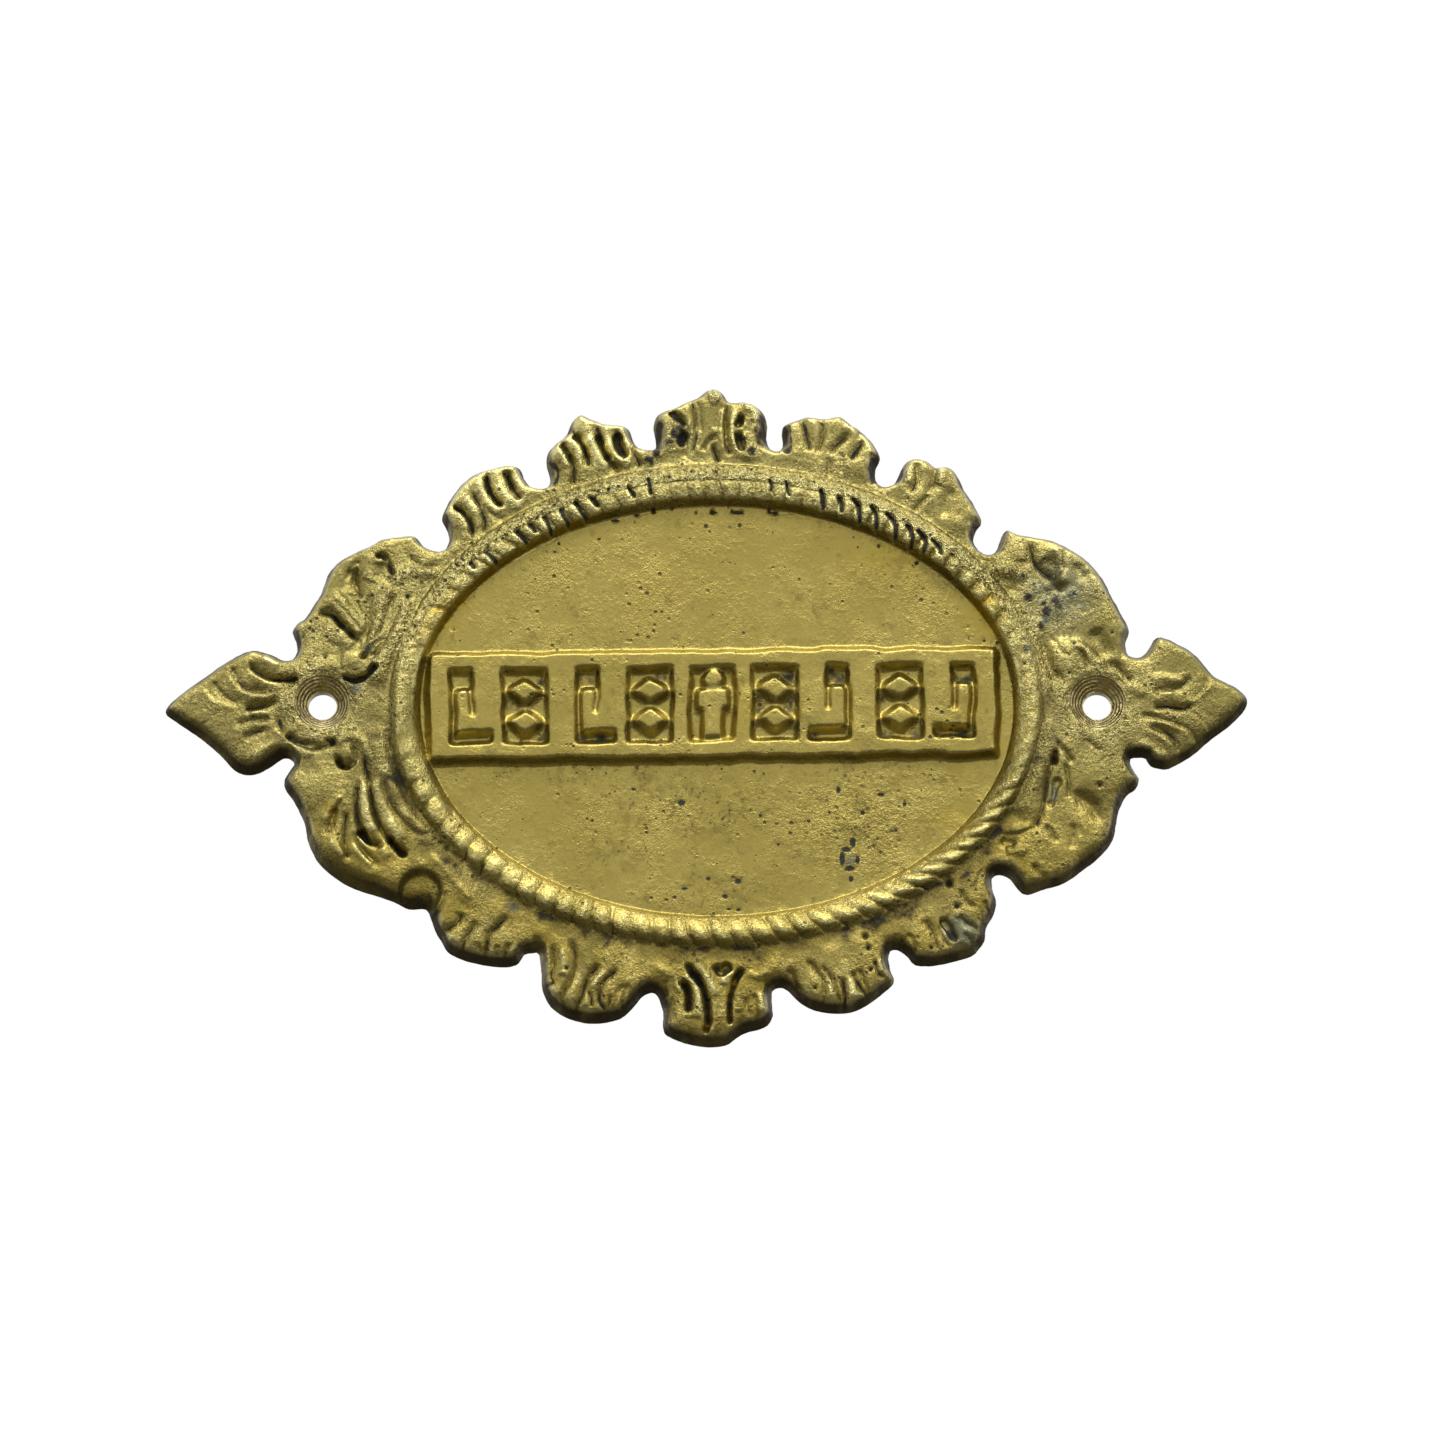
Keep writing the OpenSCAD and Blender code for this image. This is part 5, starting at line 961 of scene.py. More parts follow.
def addRope(height):
    px, pz = gx - ring["middle"][0], gz - ring["middle"][1]
    turn = np.arctan2(pz / ring["crest"][1], px / ring["crest"][0]) % (2 * math.pi)
    below = ease(0, 12, -pz)
    innerHalf = ring["inner"][1] + (ring["innerLow"] - ring["inner"][1]) * below
    outerHalf = ring["outer"][1] + (ring["outerLow"] - ring["outer"][1]) * below
    inner = np.hypot(px / ring["inner"][0], pz / innerHalf)
    outer = np.hypot((px - ring["lowShift"] * below) / ring["outer"][0], pz / outerHalf)
    across = ((inner - 1) - (1 - outer)) / np.maximum((inner - 1) + (1 - outer), 1e-6)
    across = np.where(inner < 1, -1 - (1 - inner) * 12, across)
    across = np.where(outer > 1, 1 + (outer - 1) * 12, across)
    onRope = (across > -1.06) & (across < 1.3)
    knots = notchAngles()
    turns = np.where(turn < knots[0][0], turn + 2 * math.pi, turn)
    side, ends = np.sin(turn), np.abs(np.cos(turn))
    above = ease(-0.15, 0.3, side)
    gape = ease(0.2, 0.45, turn) * ease(1.3, 1.0, turn)      # upper right, where the strands gape
    steep = np.interp(across, (-1, -0.3, 0.1, 0.6, 1), (-0.1, 0.05, 0.2, 0.55, 0.9))
    lowLean = 0.22 + 0.3 * ease(4.8, 5.6, turns) + 0.25 * np.clip(across, 0, 1)
    plain = (0.12 * above + lowLean * (1 - above)) * across
    count = np.interp(turns, [k[0] for k in knots], [k[1] for k in knots])
    count = count - plain - (steep - plain) * gape + 0.09 * patchy(3, 61) + 0.04 * patchy(1.1, 63)
    near = np.abs(count - np.round(count)) * 2          # 0 in a notch, 1 mid strand
    across = np.clip(across, -2, 2)
    shifted = across - 0.15 * above * ends ** 2 * (np.abs(across) < 1)
    band = above * ease(-0.9, -0.7, shifted) * ease(0.2, 0.02, shifted)
    shoulder = above * ease(0.1, 0.25, across) * ease(1.05, 0.85, across)
    lowBand = (1 - above) * ease(-0.8, -0.5, across) * ease(1.0, 0.8, across)
    lowDeep = (1 - above) * ease(0.2, 0.5, across) * ease(1.0, 0.85, across)
    uneven = 1 + 0.35 * patchy(4, 62) + 0.2 * patchy(1.5, 64)
    worn = (1 - 0.8 * ease(0.88, 0.985, ends)) * uneven
    pillow = 1 - near ** 2
    crease = bell(near, 0.16 + 0.10 * gape)
    rope = above * np.interp(shifted, ring["topAt"], ring["top"])
    rope = rope + (1 - above) * np.interp(across, ring["lowAt"], ring["low"])
    rope = rope - worn * ((band * (0.22 + 0.1 * gape) + lowBand * 0.26) * pillow
                          + (band * (0.42 + 0.1 * gape) + lowBand * 0.3 + lowDeep * 0.3) * crease
                          + shoulder * 0.16 * (crease + 0.6 * pillow))
    coarse = onRope * np.clip(1.3 * shoulder + 0.3 * band, 0, 1.3)
    coarse = coarse * (0.4 + 0.6 * ease(0.25, 0.6, side))
    rope = rope + shoulder * (0.16 * patchy(0.9, 71) + 0.16 * patchy(1.7, 73)) + 0.07 * patchy(1.9, 75)
    mixIn = ease(1.3, 0.85, across)
    out = np.where(onRope, height * (1 - mixIn) + rope * mixIn, height)
    inked = bell(near, 0.1 + 0.1 * gape)
    worked, ropeHighlight = np.zeros_like(gx), np.zeros_like(gx)
    for width, depth, *points in ropeSlits:
        spot, far, _, hand = along(points, 1.3, 0.3)
        slit = bell(far, 0.5 * width, 3)
        lip = (hand < 0) * bell(far - 0.75 * width, 0.25)
        out[spot] += 0.12 * lip - 0.6 * depth * slit
        raiseTo(worked, spot, slit)
        # Painted highlight on the lip beside each slit
        raiseTo(ropeHighlight, spot, lip)
    for x, z in ropeFacetHighlights:
        spot, far, share, _ = along([(x - 0.7, z + 0.8), (x, z), (x + 0.5, z - 0.9)], 1.2, 0.3)
        raiseTo(ropeHighlight, spot, bell(far, 0.42) * ease(0, 0.4, share) * ease(0, 0.4, 1 - share))
    # Painted highlight: a ragged bright line where the upper left of the rope meets the field
    foot = bell(across + 1.0, 0.06) * ease(1.8, 1.95, turn) * ease(2.5, 2.35, turn)
    ropeHighlight = np.maximum(ropeHighlight, foot * np.clip(0.75 + 0.8 * patchy(0.7, 68, 2), 0, 1))
    # Painted reflection: warm yellow on the rope's inner wall at the upper left
    innerWallReflection = ease(-1.0, -0.93, across) * ease(-0.62, -0.75, across)
    innerWallReflection = innerWallReflection * ease(1.95, 2.1, turn) * ease(2.75, 2.55, turn)
    sandyReach = ease(1.5, 1.35, turn) + 0.6 * ease(1.35, 1.5, turn) * ease(2.0, 1.85, turn)
    sandy = shoulder * ease(0.68, 0.8, turn) * sandyReach
    gaps = 0.65 + 0.6 * patchy(2.6, 66)
    dark = onRope * worn * inked * (band * 0.42 * gaps + lowBand * 0.35 * gaps + lowDeep * 0.7 * gaps)
    # Painted shade under the lower run of the rope, on its foot and on the gutter below it
    under = (1 - above) * ease(0.75, 0.95, across) * ease(2.6, 1.3, across)
    dark = np.maximum(dark, under * (0.4 + 0.14 * bell(across - 1.02, 0.12) + 0.5 * patchy(1.8, 67, 2)))
    underRopeShade = under * np.clip(0.36 + 0.5 * patchy(2.4, 69, 3), 0, 1)
    dark = np.maximum(dark * (1 - ropeHighlight), worked)
    # Painted highlights on the top band, the shoulder, the upper side of the lower run and the sandy
    # shoulder
    bright = onRope * (0.7 * band + 0.75 * shoulder + 0.8 * lowBand * ease(0.7, 0.5, across)) * near ** 0.5
    bright = np.maximum(bright + 0.8 * sandy, 1.6 * ropeHighlight)
    coarse = np.maximum(coarse, 1.3 * sandy)
    return out, across, dark, bright, coarse, innerWallReflection, underRopeShade


def barTop(u, v, x0, z0, x1, z1):
    # Height of a bar with sloping sides, above the field
    inside = np.minimum(np.minimum(u - x0, x1 - u), np.minimum(v - z0, z1 - v))
    return np.clip(1 + inside / strip["slope"], 0, 1)


def addStrip(height):
    turn = math.radians(strip["lean"])
    px, pz = gx - strip["middle"][0], gz - strip["middle"][1]
    stir = strip["wobble"]
    u = px * math.cos(turn) + pz * math.sin(turn) + stir * patchy(3.4, 11) + 0.5 * stir * patchy(1.3, 13)
    v = pz * math.cos(turn) - px * math.sin(turn) + stir * patchy(3.4, 12) + 0.5 * stir * patchy(1.3, 14)
    w, h = strip["size"]
    rail = strip["rail"]
    cell, inner = w / strip["cells"], h - 2 * rail
    middle = strip["cells"] // 2
    top = np.maximum(barTop(u, v, -w / 2, h / 2 - rail, w / 2, h / 2),
                     barTop(u, v, -w / 2, -h / 2, w / 2, -h / 2 + rail))
    for i in range(strip["cells"]):
        c = (i - middle) * cell
        flip = -1 if i > middle and i % 2 == 0 else 1
        q = (u - c) * flip
        if i == middle:
            head = np.hypot(q, v - inner * 0.33)
            top = np.maximum(top, np.clip(1 + (cell * 0.14 - head) / 0.5, 0, 1))
            bars = strip["figure"] + strip["posts"]
        elif i % 2:
            for k in (-1, 1):
                slope = 1 - (np.abs(q) / (cell * 0.4) + np.abs(v - k * inner * 0.19) / (inner * 0.22))
                top = np.maximum(top, np.clip(slope * 2, 0, 1))
            bars = strip["posts"]
        else:
            bars = strip["key"]
        near = np.abs(q) < cell
        for x0, z0, x1, z1 in bars:
            bar = barTop(q, v, x0 * cell, z0 * inner, x1 * cell, z1 * inner)
            top = np.where(near, np.maximum(top, bar), top)
    # Worn edges: the tops roll over and the gaps silt up a little
    top = np.clip(soften(top, 0.55) * 1.08, 0, 1)
    rounded = ease(-0.15, 1.1, top)
    rounded = np.where(top > 0.002, rounded, 0) * ease(0.0, 0.12, top)
    face = strip["top"] + 0.13 * patchy(5, 21, 2) + 0.07 * patchy(1.7, 23)
    inBox = (np.abs(u) < w / 2) & (np.abs(v) < h / 2)
    floor = height + 0.25 * inBox * (1 - top)
    return floor + (face - floor) * rounded, top, inBox * (1 - top)


def addHoleFaces(height):
    # The metal round each screw hole is lower, and rough
    for x in holes["x"]:
        r = np.hypot(gx - x, gz - holes["z"]) + 0.35 * patchy(3.2, 81) + 0.15 * patchy(1.2, 82)
        low = holes["face"] + 0.18 * patchy(2.6, 83) + 0.9 * np.clip(r - holes["level"], 0, 4)
        height = np.where(height > low, low + 0.12 * (height - low), height)
        inside = np.hypot(gx - x, gz - holes["z"]) < holes["sink"] + 0.5
        height = np.where(inside, np.maximum(height, holes["face"] - 0.1), height)
    return height


def makeRelief():
    height, dark, bright, coarse = addStrokes(makeGround())
    report("reeds")
    height = addHoleFaces(height)
    height, across, ropeDark, ropeBright, ropeCoarse, innerWallReflection, gutterShade = addRope(height)
    report("rope")
    inField = across < -1.0
    field = border["field"] + 0.12 * patchy(15, 41) + 0.06 * patchy(4.5, 43)
    height = np.where(inField, np.minimum(field, height), height)
    height, top, gaps = addStrip(height)
    dark = np.where(across < 0.95, ropeDark, np.maximum(dark, ropeDark))
    dark = np.maximum(dark, gaps * (0.4 + 0.5 * patchy(2.4, 25, 2)))
    bright = np.where(across < 0.95, ropeBright, np.maximum(bright, ropeBright * (across < 1.1)))
    coarse = np.maximum(coarse * (across > 0.95), ropeCoarse)
    coarse = np.maximum(coarse, inField * areas(roughAreas))
    # Blow holes, burnt lumps and the rim
    ragged = patchy(0.9, 85)
    for x, z, r, depth in pits:
        spot = window((x - 3 * r, z - 3 * r), (x + 3 * r, z + 3 * r))
        far = np.hypot(gx[spot] - x, gz[spot] - z) * (1 + 0.2 * ragged[spot])
        height[spot] -= depth * bell(far, r, 2.5)
        raiseTo(dark, spot, bell(far, r, 2.5))
    burnt = spots([(x, z, r, r) for x, z, r in burns], 3.0)
    height = height + burnt * 0.3 * patchy(0.9, 87, 2)
    dark = np.maximum(dark, burnt * (0.62 + 0.5 * patchy(0.9, 87, 2) + 0.3 * patchy(2, 89)))
    coarse = np.maximum(coarse, burnt)
    # Painted highlight: whole areas of the border made paler
    worn = areas(paintedPaleAreas) * (1 - inField) * (across > 1.1)
    inRing = inField * (1 - top)
    marks = spots(fieldSpots, 2.4) * inRing
    height = height - 0.16 * marks
    lean = 1 + sum(k * np.exp(-((gx - x) ** 2 + (gz - z) ** 2) / r ** 2) for x, z, r, k in gentleWalls)
    share = np.interp(rimDistance / (lean + 0.12 * patchy(4, 93)), wallAt, wallShare)
    # Painted shade: walls that look down are brown to black all the way up, the others only near the back
    down = ease(-0.5, 0.3, soften(np.gradient(rimDistance, ground["cell"], axis=0), 0.5))
    rimShade = ease(0.97, 0.5, share) * (1 - down) + ease(0.95, 0.72, share) * down
    rimShade = rimShade * np.clip(0.85 + 0.15 * down + 0.6 * patchy(2.6, 95, 2), 0, 1)
    height = np.minimum(soften(height, 0.1), ring["ceiling"]) * share
    hollow = soften(height, 1.1) - height
    hollowWide = soften(height, 2.6) - height
    # Painted shade, added to the oxide mask: hollows, wide hollows and the rim walls
    shaded = 0.16 * ease(0.3, 0.9, hollow)
    oxideAndShade = np.clip(0.95 * dark + shaded + 0.1 * ease(0.4, 1.2, hollowWide), 0, 1.3)
    oxideAndShade = np.maximum(oxideAndShade, 0.6 * rimShade)
    # Pale metal: wear on crests and convex tops, with painted highlights from the crests, swells, rope and
    # pale areas
    wearAndHighlight = 0.55 * bright + 0.55 * ease(0.1, 0.5, -hollow) + 0.55 * worn
    wearAndHighlight = np.clip(wearAndHighlight, 0, 1) * (1 - 0.9 * np.clip(dark, 0, 1))
    # The lower border is tinted yellower towards the bottom
    yellow = 0.4 * ease(-8, -26, gz) * (1 - inField) * np.clip(0.8 + 0.5 * patchy(5, 65, 2), 0, 1)
    yellow = yellow * (0.45 + 0.55 * (across > 1.05))
    for x in holes["x"]:
        r = np.hypot(gx - x, gz - holes["z"])
        coarse = np.maximum(coarse, 0.8 * ease(8.5, 6, r) * np.clip(0.6 + patchy(2.4, 97, 2), 0, 1))
    # Painted reflections of the metal in itself, tinted gold
    paintedReflection = np.maximum(spots(warmReflectionSpots) * (1 - 0.7 * inField), innerWallReflection)
    return {
        "height": height,
        "oxideAndShade": np.maximum(oxideAndShade, 1.2 * marks),
        "wearAndHighlight": wearAndHighlight,
        "coarse": coarse,
        "lead": np.maximum(spots(leadSpots), areas(dullAreas)),
        "goldReflectionAndTint": np.maximum(paintedReflection, yellow),
        "wall": np.maximum(rimShade, gutterShade),
        "stain": inRing * areas(stainedAreas),
        "field": soften(inField.astype(float), 0.3),
    }


# Dark spots on the field: x, z, radius along x, radius along z
fieldSpots = [
    (1.2, 34.7, 0.8, 0.32), (5.3, 34.7, 1.2, 0.36), (11.2, 34.6, 1.0, 0.25), (-3.6, -30.5, 0.7, 0.3),
    (-4, -15.7, 0.8, 0.6), (3.2, -31.8, 0.5, 0.5), (23.3, -23.7, 0.9, 0.5), (22.6, -25.3, 0.5, 1.5),
    (23.8, -27, 1.1, 0.55), (25.1, -25.5, 0.4, 1.0), (24.3, -22.5, 0.6, 1.1), (24, -28.8, 0.4, 0.6),
    (0.4, -28.8, 0.5, 0.4), (5.3, -29.2, 0.6, 0.5), (3.8, -34, 0.5, 0.25), (5.4, -34.1, 0.5, 0.3),
    (17, -18.9, 0.35, 0.35), (29, -14.3, 0.7, 0.4), (22, -13.5, 0.4, 0.7), (31.5, -20.4, 0.4, 0.3),
    (26, -17.4, 0.4, 0.4), (12, -22.9, 0.3, 0.3), (9, -17.9, 0.3, 0.4), (33, -15.9, 0.3, 0.5),
    (-12, -13.4, 0.5, 0.3), (-25.3, 27.8, 0.5, 0.2), (-24.6, 29.2, 0.25, 0.3), (-17.9, 30, 0.4, 0.25),
    (-15.2, 33.2, 0.9, 0.25), (-11.6, 34.2, 0.7, 0.2),
]

pits = [
    # x, z, radius, depth
    (-49.8, 19.4, 0.6, 0.5), (-65.9, 15.3, 0.35, 0.5), (40.2, -30.1, 0.6, 0.9), (26.3, -39.1, 0.5, 0.7),
    (26.8, -41.1, 0.45, 0.7), (41.5, -42.4, 0.45, 0.5), (41.5, -34, 0.5, 0.6), (65.3, -13.2, 0.5, 0.6),
    (53, 7.4, 0.35, 0.4), (60.4, 6.3, 0.3, 0.3), (-48.5, 14, 0.35, 0.3), (-49.7, 11.4, 0.3, 0.3),
    (1, 34.9, 0.35, 0.4), (4.3, 34.9, 0.3, 0.4), (6, 34.8, 0.3, 0.4), (10.5, 35, 0.3, 0.4),
    (11.7, 34.6, 0.3, 0.4),
    (-8.8, 35, 0.4, 0.5), (35.2, 25.8, 0.4, 0.25), (-42, 14.3, 0.3, 0.25), (43.7, 14.7, 0.3, 0.25),
    (43.8, 12.9, 0.35, 0.25), (46.4, 12.3, 0.3, 0.25), (61.2, 11.3, 0.4, 0.4), (-63.4, 9, 0.35, 0.35),
    (-65.3, 9.2, 0.25, 0.3), (-66.4, 8.2, 0.3, 0.3), (67.7, 13.3, 0.3, 0.3), (54.3, -14.2, 0.2, 0.25),
    (-23, -44.6, 0.4, 0.4), (27.2, -44.8, 0.4, 0.5), (18, -47.9, 0.4, 0.5), (37.2, -41, 0.4, 0.5),
]

maps = makeRelief()
report("relief drawn")


def sample(name, x, z):
    return sampleMap(maps[name], x, z)


def press(thing):
    # Every point moves by the share of its height, so the wall follows the grooves at the rim
    co = readPoints(thing)
    x, h, z = co[:, 0], -co[:, 1], co[:, 2]
    co[:, 1] = -h / slab["edge"] * sample("height", x, z)
    wall = ease(0.02, 0.5, h) * ease(2.0, 0.6, sampleMap(rimDistance, x, z))
    co[:, 0] += wall * 0.12 * patchy(1.5, 91, 2, x=x + 2.1 * h, z=z)
    co[:, 2] += wall * 0.12 * patchy(1.5, 92, 2, x=x, z=z + 2.1 * h)
    thing.data.vertices.foreach_set("co", co.ravel())
    thing.data.update()


press(plate)
report("relief pressed")
triangles = sum(len(f.vertices) - 2 for f in plate.data.polygons)
applyModifier(plate, "DECIMATE", ratio=min(1.0, slab["budget"] / triangles))
bpy.ops.object.mode_set(mode="EDIT")
bpy.ops.mesh.select_all(action="SELECT")
bpy.ops.mesh.delete_loose()
bpy.ops.object.mode_set(mode="OBJECT")
report("casting of %d triangles thinned to %d" % (triangles, len(plate.data.polygons)))


def makeCutter(x):
    # Turned on a lathe: bore, then a countersink with a slight step for each pass of the tool
    deselectAll()
    bpy.ops.mesh.primitive_cylinder_add(vertices=96, radius=holes["bore"], depth=4,
                                        location=(x, 1.2, holes["z"]), rotation=(math.pi / 2, 0, 0))
    thing = bpy.context.object
    bpy.ops.object.transform_apply(location=True, rotation=True, scale=True)
    selectFaces(thing, [f.normal.y < -0.9 for f in thing.data.polygons])
    front = -0.8             # where that cylinder ends
    start = -(holes["face"] - (holes["sink"] - holes["bore"]))
    bpy.ops.mesh.extrude_region_move(TRANSFORM_OT_translate={"value": (0, start - front, 0)})
    width = (holes["sink"] - holes["bore"]) / holes["passes"]
    radius = holes["bore"]
    for k in range(holes["passes"]):
        for share, drop in ((1.35, 0.72), (0.65, 1.28)):
            grow = (radius + width * share / 2) / radius
            bpy.ops.mesh.extrude_region_move(TRANSFORM_OT_translate={"value": (0, -width * drop / 2, 0)})
            bpy.ops.transform.resize(value=(grow, 1, grow), center_override=(x, 0, holes["z"]))
            radius *= grow
    bpy.ops.mesh.extrude_region_move(TRANSFORM_OT_translate={"value": (0, -4, 0)})
    bpy.ops.object.mode_set(mode="OBJECT")
    return thing


for x in holes["x"]:
    cutter = makeCutter(x)
    applyModifier(plate, "BOOLEAN", operation="DIFFERENCE", solver="MANIFOLD", object=cutter)
    bpy.data.objects.remove(cutter)
report("holes cut, %d faces" % len(plate.data.polygons))


finishes = ("oxideAndShade", "wearAndHighlight", "coarse", "lead", "goldReflectionAndTint", "wall", "stain", "field")


def keepMasks(thing):
    co = readPoints(thing)
    x, h, z = co[:, 0], -co[:, 1], co[:, 2]
    front = ease(0.15, 0.35, h)
    values = {name: sample(name, x, z) * front for name in finishes}
    values["back"] = 1 - ease(0.15, 0.5, h)
    lathe = np.zeros(len(x))
    for hx in holes["x"]:
        r = np.hypot(x - hx, z - holes["z"])
        turned = 0.7 + 0.3 * np.sin(13 * r + 0.8 * np.sin(2 * np.arctan2(z - holes["z"], x - hx)))
        lathe = np.maximum(lathe, turned * (1 - ease(holes["sink"] - 0.1, holes["sink"] + 0.25, r)))
    values["lathe"] = lathe
    values["oxideAndShade"] = values["oxideAndShade"] * (1 - lathe)
    for name, value in values.items():
        mask = thing.data.attributes.new(name, "FLOAT", "POINT")
        mask.data.foreach_set("value", value.astype(np.float32))


keepMasks(plate)
pick(plate)
resizeBy(0.001)
bpy.ops.object.shade_smooth_by_angle(angle=math.radians(55))
# The back is shaded flat, so the wall's normals don't run into it
selectFaces(plate, [f.normal.y > 0.9 for f in plate.data.polygons])
bpy.ops.mesh.faces_shade_flat()
bpy.ops.object.mode_set(mode="OBJECT")
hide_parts("sign_plate")
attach(plate, "root")
report("casting finished")


def hexToLinear(code):
    # sRGB hex to linear colour
    parts = [int(code[i:i + 2], 16) / 255 for i in (1, 3, 5)]
    return tuple(c / 12.92 if c <= 0.04045 else ((c + 0.055) / 1.055) ** 2.4 for c in parts) + (1,)


def perMm(size):
    # Texture scale that gives features of that many mm
    return 1000 / size


def addNode(tree, kind, inputs=None, **settings):
    node = tree.nodes.new(kind)
    for key, value in settings.items():
        setattr(node, key, value)
    for key, value in (inputs or {}).items():
        if isinstance(value, bpy.types.NodeSocket):
            tree.links.new(value, node.inputs[key])
        else:
            node.inputs[key].default_value = value
    return node


brass = {
    "tarnished": "#BBAD6A",
    "duller": "#8E8349",
    "field": "#A3924A",
    # Pale metal of wear and of painted highlights
    "wornAndHighlit": "#E8DD98",
    "oxideAndShade": "#28251A",
    "brown": "#63572C",
    # Painted shade of the rim walls and of the gutter under the rope
    "wall": "#372C12",
    "turned": "#B9A68A",
    "lead": "#63685C",
    "goldReflectionAndTint": "#B79A22",
    "roughness": 0.32,
    "grainDepth": 0.5,       # mm that the cast grain stands up
}


def makeBrass():
    # Sand-cast brass, handled for years: warm dull yellow with a sandy grain that breaks up every
    # reflection, dark oxide with painted shade in the hollows, painted shade on the walls, pale metal
    # where hands rub the crests with painted highlights and glints on it, and painted warm reflections.
    mat = bpy.data.materials.new("sandCastBrass")
    mat.use_nodes = True
    tree = mat.node_tree
    tree.nodes.clear()
    place = addNode(tree, "ShaderNodeTexCoord").outputs["Object"]
    mask = {name: addNode(tree, "ShaderNodeAttribute", attribute_name=name).outputs["Fac"]
            for name in finishes + ("back", "lathe")}

    def noise(size, detail=2.0, rough=0.5):
        return addNode(tree, "ShaderNodeTexNoise", {
            "Vector": place, "Scale": perMm(size), "Detail": detail, "Roughness": rough}).outputs["Fac"]

    def ramp(value, low, high, outLow=0.0, outHigh=1.0):
        return addNode(tree, "ShaderNodeMapRange", {
            "Value": value, "From Min": low, "From Max": high, "To Min": outLow, "To Max": outHigh},
            interpolation_type="SMOOTHSTEP").outputs["Result"]

    def sums(kind, a, b):
        return addNode(tree, "ShaderNodeMath", {0: a, 1: b}, operation=kind).outputs[0]

    def plus(a, b):
        return sums("ADD", a, b)

    def times(a, b):
        return sums("MULTIPLY", a, b)

    def without(a, share=1.0):
        return sums("SUBTRACT", 1.0, times(a, share) if share != 1.0 else a)

    def stir(value, texture, gain):
        # Breaks up a value with a texture
        return plus(value, times(sums("SUBTRACT", texture, 0.5), gain))

    def tint(amount, a, b):
        return addNode(tree, "ShaderNodeMix", {0: amount, 6: a, 7: b}, data_type="RGBA").outputs[2]

    def pits(size, low, high):
        cells = addNode(tree, "ShaderNodeTexVoronoi", {
            "Vector": place, "Scale": perMm(size), "Randomness": 1.0})
        return ramp(cells.outputs["Distance"], low, high)

    broad, patch, mottle = noise(18, 3), noise(6, 3, 0.6), noise(2.2, 4, 0.65)
    grain, fine = noise(0.75, 3, 0.65), noise(0.3, 2, 0.6)
    # Oxide and painted shade have a broken edge, so their mask is stirred by the grain
    stirred = stir(stir(mask["oxideAndShade"], mottle, 0.6), grain, 0.4)
    dark, halo = ramp(stirred, 0.45, 0.8), ramp(stirred, 0.3, 0.7)
    wornAndHighlit = times(ramp(stir(mask["wearAndHighlight"], grain, 0.9), 0.25, 0.95), without(dark))
    # Pores about 1.6 mm apart, in patches, and finer ones everywhere
    pores = times(pits(1.6, 0.26, 0.10), sums("MAXIMUM", ramp(patch, 0.5, 0.64), mask["coarse"]))
    pores = sums("MAXIMUM", pores, times(pits(0.9, 0.24, 0.08), ramp(mottle, 0.56, 0.7)))
    darkAll = sums("MAXIMUM", dark, times(pores, 0.75))
    glint = plus(ramp(patch, 0.45, 0.7, 0.05, 0.4), times(mask["coarse"], 0.9))
    # Colours laid over one another, from the bare metal up: how much of each, and which
    layers = [
        (ramp(patch, 0.62, 0.38, 0, 0.35), "duller"),
        (ramp(mottle, 0.6, 0.34, 0, 0.45), "duller"),
        (ramp(fine, 0.54, 0.32, 0, 0.75), "brown"),
        # Where the mould was rough, pale grains stand in brown; their pale tips are painted glints on real
        # grain
        (times(ramp(grain, 0.48, 0.4), times(mask["coarse"], 0.6)), "brown"),
        (times(ramp(grain, 0.5, 0.62), times(mask["coarse"], 0.8)), "wornAndHighlit"),
        # Painted glints: fine pale flecks off the field
        (times(ramp(fine, 0.54, 0.66), times(glint, without(mask["field"]))), "wornAndHighlit"),
        (times(mask["field"], 0.7), "field"),
        (times(mask["goldReflectionAndTint"], 0.7), "goldReflectionAndTint"),
        # Stains of the field
        (times(times(ramp(noise(3.4, 5, 0.7), 0.56, 0.7), mask["field"]), 0.45), "brown"),
        (times(ramp(noise(2.4, 5, 0.75), 0.48, 0.6), times(mask["stain"], 0.6)), "brown"),
        (times(ramp(noise(0.9, 4, 0.7), 0.58, 0.65), times(mask["stain"], 0.85)), "oxideAndShade"),
        # Hollows with a brown halo of oxide and painted shade, crests pale with wear and painted
        # highlight, lead-grey places, walls in painted shade and the turned countersinks
        (times(halo, 0.5), "brown"),
        (times(wornAndHighlit, 0.72), "wornAndHighlit"),
        (ramp(stir(mask["lead"], grain, 0.8), 0.3, 0.8, 0, 0.75), "lead"),
        (darkAll, "oxideAndShade"),
        (times(mask["wall"], ramp(mottle, 0.3, 0.6, 1.0, 0.8)), "wall"),
        (times(mask["lathe"], ramp(mottle, 0.4, 0.6, 0.15, 0.5)), "turned"),
    ]
    color = tint(ramp(broad, 0.32, 0.68), hexToLinear(brass["duller"]), hexToLinear(brass["tarnished"]))
    for amount, name in layers:
        color = tint(amount, color, hexToLinear(brass[name]))
    rough = stir(stir(brass["roughness"], mottle, 0.25), grain, 0.2)
    rough = sums("SUBTRACT", plus(rough, times(darkAll, 0.28)), times(wornAndHighlit, 0.13))
    rough = plus(rough, times(mask["wall"], 0.25))
    metal = without(sums("MAXIMUM", darkAll, times(mask["wall"], 0.3)), 0.8)
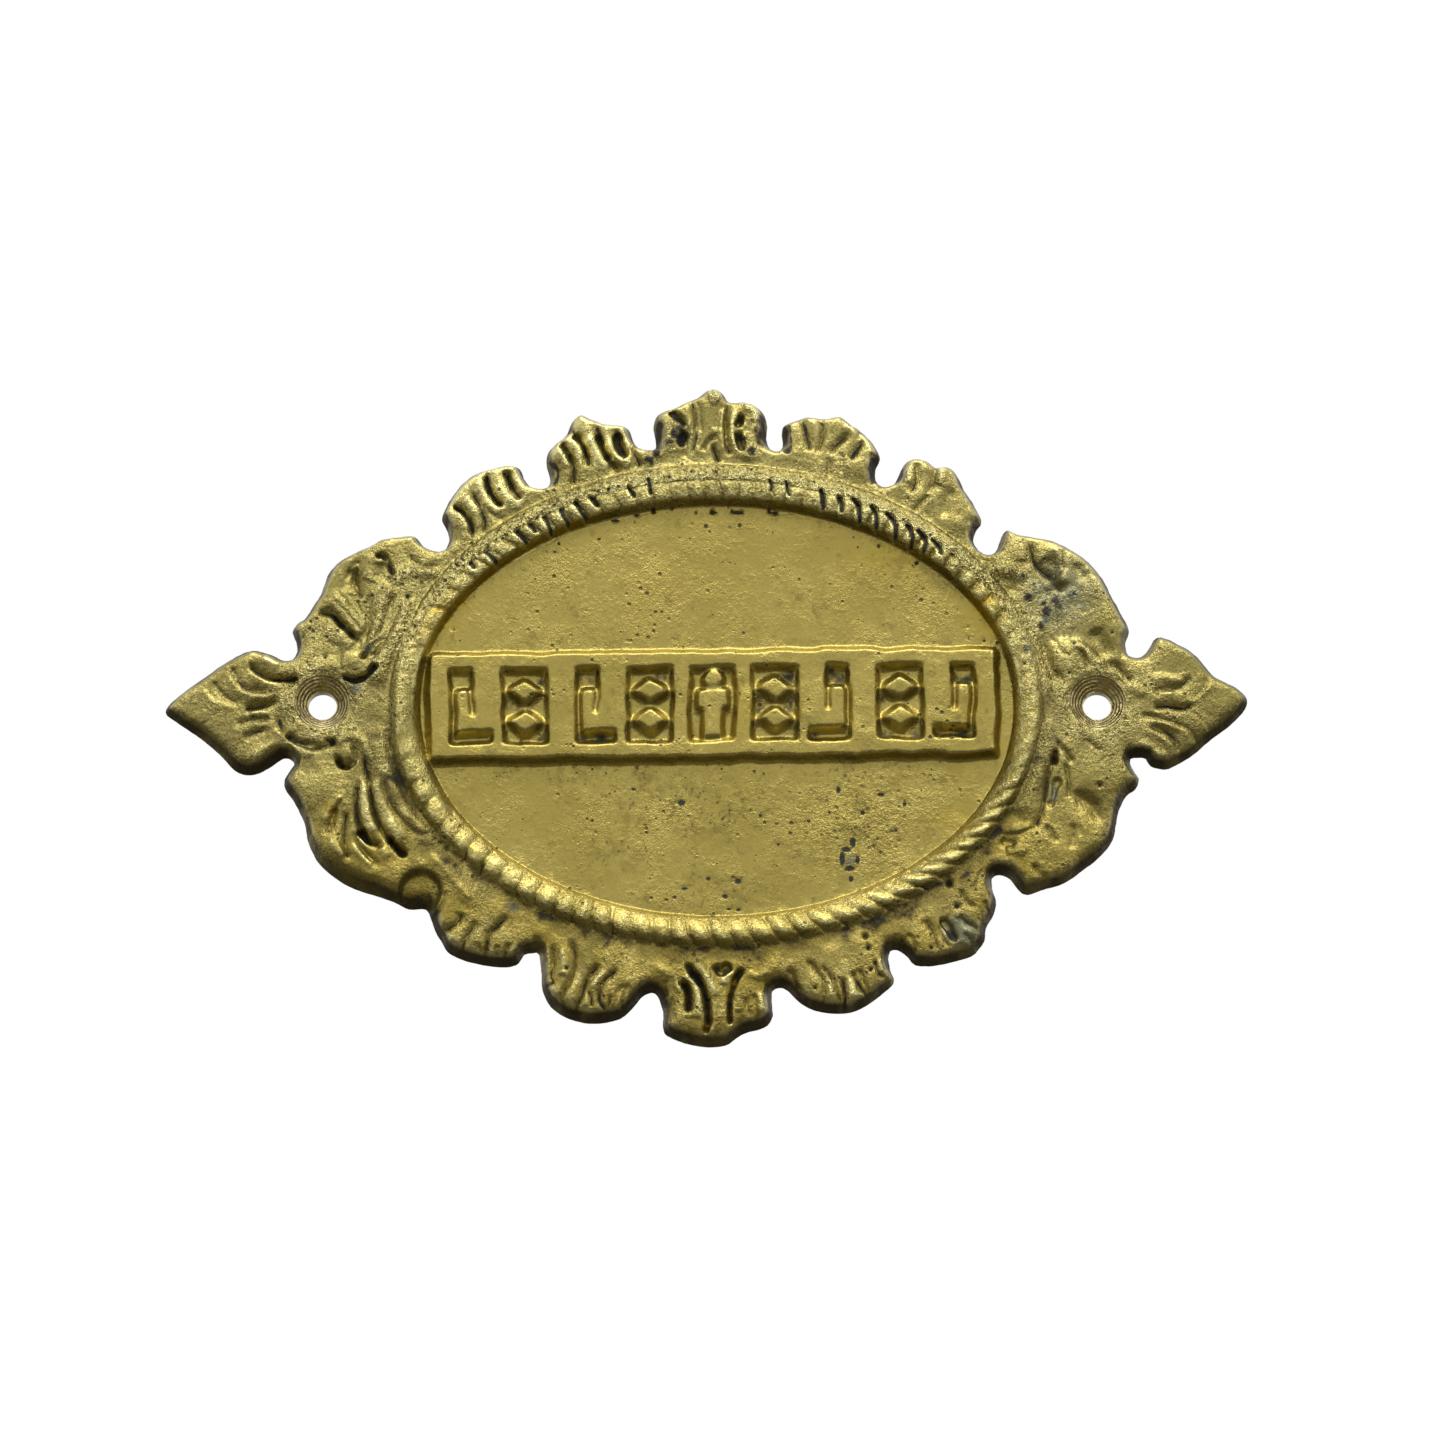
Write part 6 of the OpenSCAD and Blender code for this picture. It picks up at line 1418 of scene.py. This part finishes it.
    # Sandy grain, strongest where the metal is coarse, nearly gone inside the turned countersinks
    gain = plus(ramp(patch, 0.35, 0.65, 0.2, 0.8), times(mask["coarse"], 1.3))
    gain = times(times(gain, without(mask["field"], 0.5)), without(mask["lathe"], 0.85))
    relief = times(plus(times(grain, 0.5), times(fine, 0.5)), gain)
    relief = sums("SUBTRACT", relief, times(pores, 0.35))
    bump = addNode(tree, "ShaderNodeBump", {
        "Strength": 1.0, "Distance": brass["grainDepth"] / 1000, "Height": relief})
    shader = addNode(tree, "ShaderNodeBsdfPrincipled", {
        "Base Color": color, "Metallic": metal, "Roughness": rough, "Normal": bump.outputs["Normal"]})
    addNode(tree, "ShaderNodeOutputMaterial", {"Surface": shader.outputs[0]})
    return mat


plate.data.materials.clear()
plate.data.materials.append(makeBrass())
report("brass ready")

studio = {
    "floorHeight": -0.62,
    "floorSize": 8,
    "floorReflected": "#8A877E",
    "floorSeen": "#E6E4E0",
    "skyLight": 0.5,
    "lampPlace": (0.08, -0.52, 1.1),
    "lampSize": (1.1, 0.8),
    "lampPower": 12,
    "cameraDistance": 1.5,
    "cameraTilt": 16.0,       # degrees below the plate's normal
    "target": (0.00275, 0.0, -0.00104),
    "frameWidth": 0.2408,     # metres across the picture at the target
}


def makeStudio():
    scene = bpy.context.scene
    # Pale floor
    deselectAll()
    bpy.ops.mesh.primitive_plane_add(size=studio["floorSize"], location=(0, 0, studio["floorHeight"]))
    floor = bpy.context.object
    floor.name = "studioFloor"
    mat = bpy.data.materials.new("matPaintedBoard")
    mat.use_nodes = True
    tree = mat.node_tree
    tree.nodes.clear()
    seen = addNode(tree, "ShaderNodeLightPath").outputs["Is Camera Ray"]
    shade = addNode(tree, "ShaderNodeMix", {
        0: seen, 6: hexToLinear(studio["floorReflected"]), 7: hexToLinear(studio["floorSeen"])},
        data_type="RGBA").outputs[2]
    board = addNode(tree, "ShaderNodeBsdfPrincipled", {"Base Color": shade, "Roughness": 0.8})
    addNode(tree, "ShaderNodeOutputMaterial", {"Surface": board.outputs[0]})
    floor.data.materials.append(mat)
    # White background for the camera and for what the metal reflects
    world = bpy.data.worlds.new("studioWorld")
    scene.world = world
    world.use_nodes = True
    tree = world.node_tree
    tree.nodes.clear()
    rays = addNode(tree, "ShaderNodeLightPath")
    shown = rays.outputs["Is Camera Ray"]
    for name in ("Is Glossy Ray", "Is Transmission Ray"):
        shown = addNode(tree, "ShaderNodeMath", {0: shown, 1: rays.outputs[name]},
                        operation="MAXIMUM").outputs[0]
    soft, white = [addNode(tree, "ShaderNodeBackground", {
        "Color": (1, 1, 1, 1), "Strength": strength}).outputs[0] for strength in (studio["skyLight"], 1.0)]
    both = addNode(tree, "ShaderNodeMixShader", {0: shown, 1: soft, 2: white}).outputs[0]
    addNode(tree, "ShaderNodeOutputWorld", {"Surface": both})
    # One soft lamp above and in front
    deselectAll()
    bpy.ops.object.light_add(type="AREA", location=studio["lampPlace"])
    lamp = bpy.context.object
    lamp.name = "softLamp"
    lamp.data.shape = "RECTANGLE"
    lamp.data.size, lamp.data.size_y = studio["lampSize"]
    lamp.data.energy = studio["lampPower"]
    lamp.rotation_euler = (-lamp.location).to_track_quat("-Z", "Y").to_euler()
    # Long lens from just below the plate's normal
    tilt = math.radians(studio["cameraTilt"])
    deselectAll()
    bpy.ops.object.camera_add()
    camera = bpy.context.object
    target = Vector(studio["target"])
    back = Vector((0, -math.cos(tilt), -math.sin(tilt)))
    camera.location = target + studio["cameraDistance"] * back
    camera.rotation_euler = (math.pi / 2 + tilt, 0, 0)
    camera.data.sensor_width = 36
    camera.data.lens = 36 * studio["cameraDistance"] / studio["frameWidth"]
    camera.data.clip_start = 0.01
    scene.camera = camera
    scene.view_settings.view_transform = "Standard"


makeStudio()
report("studio ready")
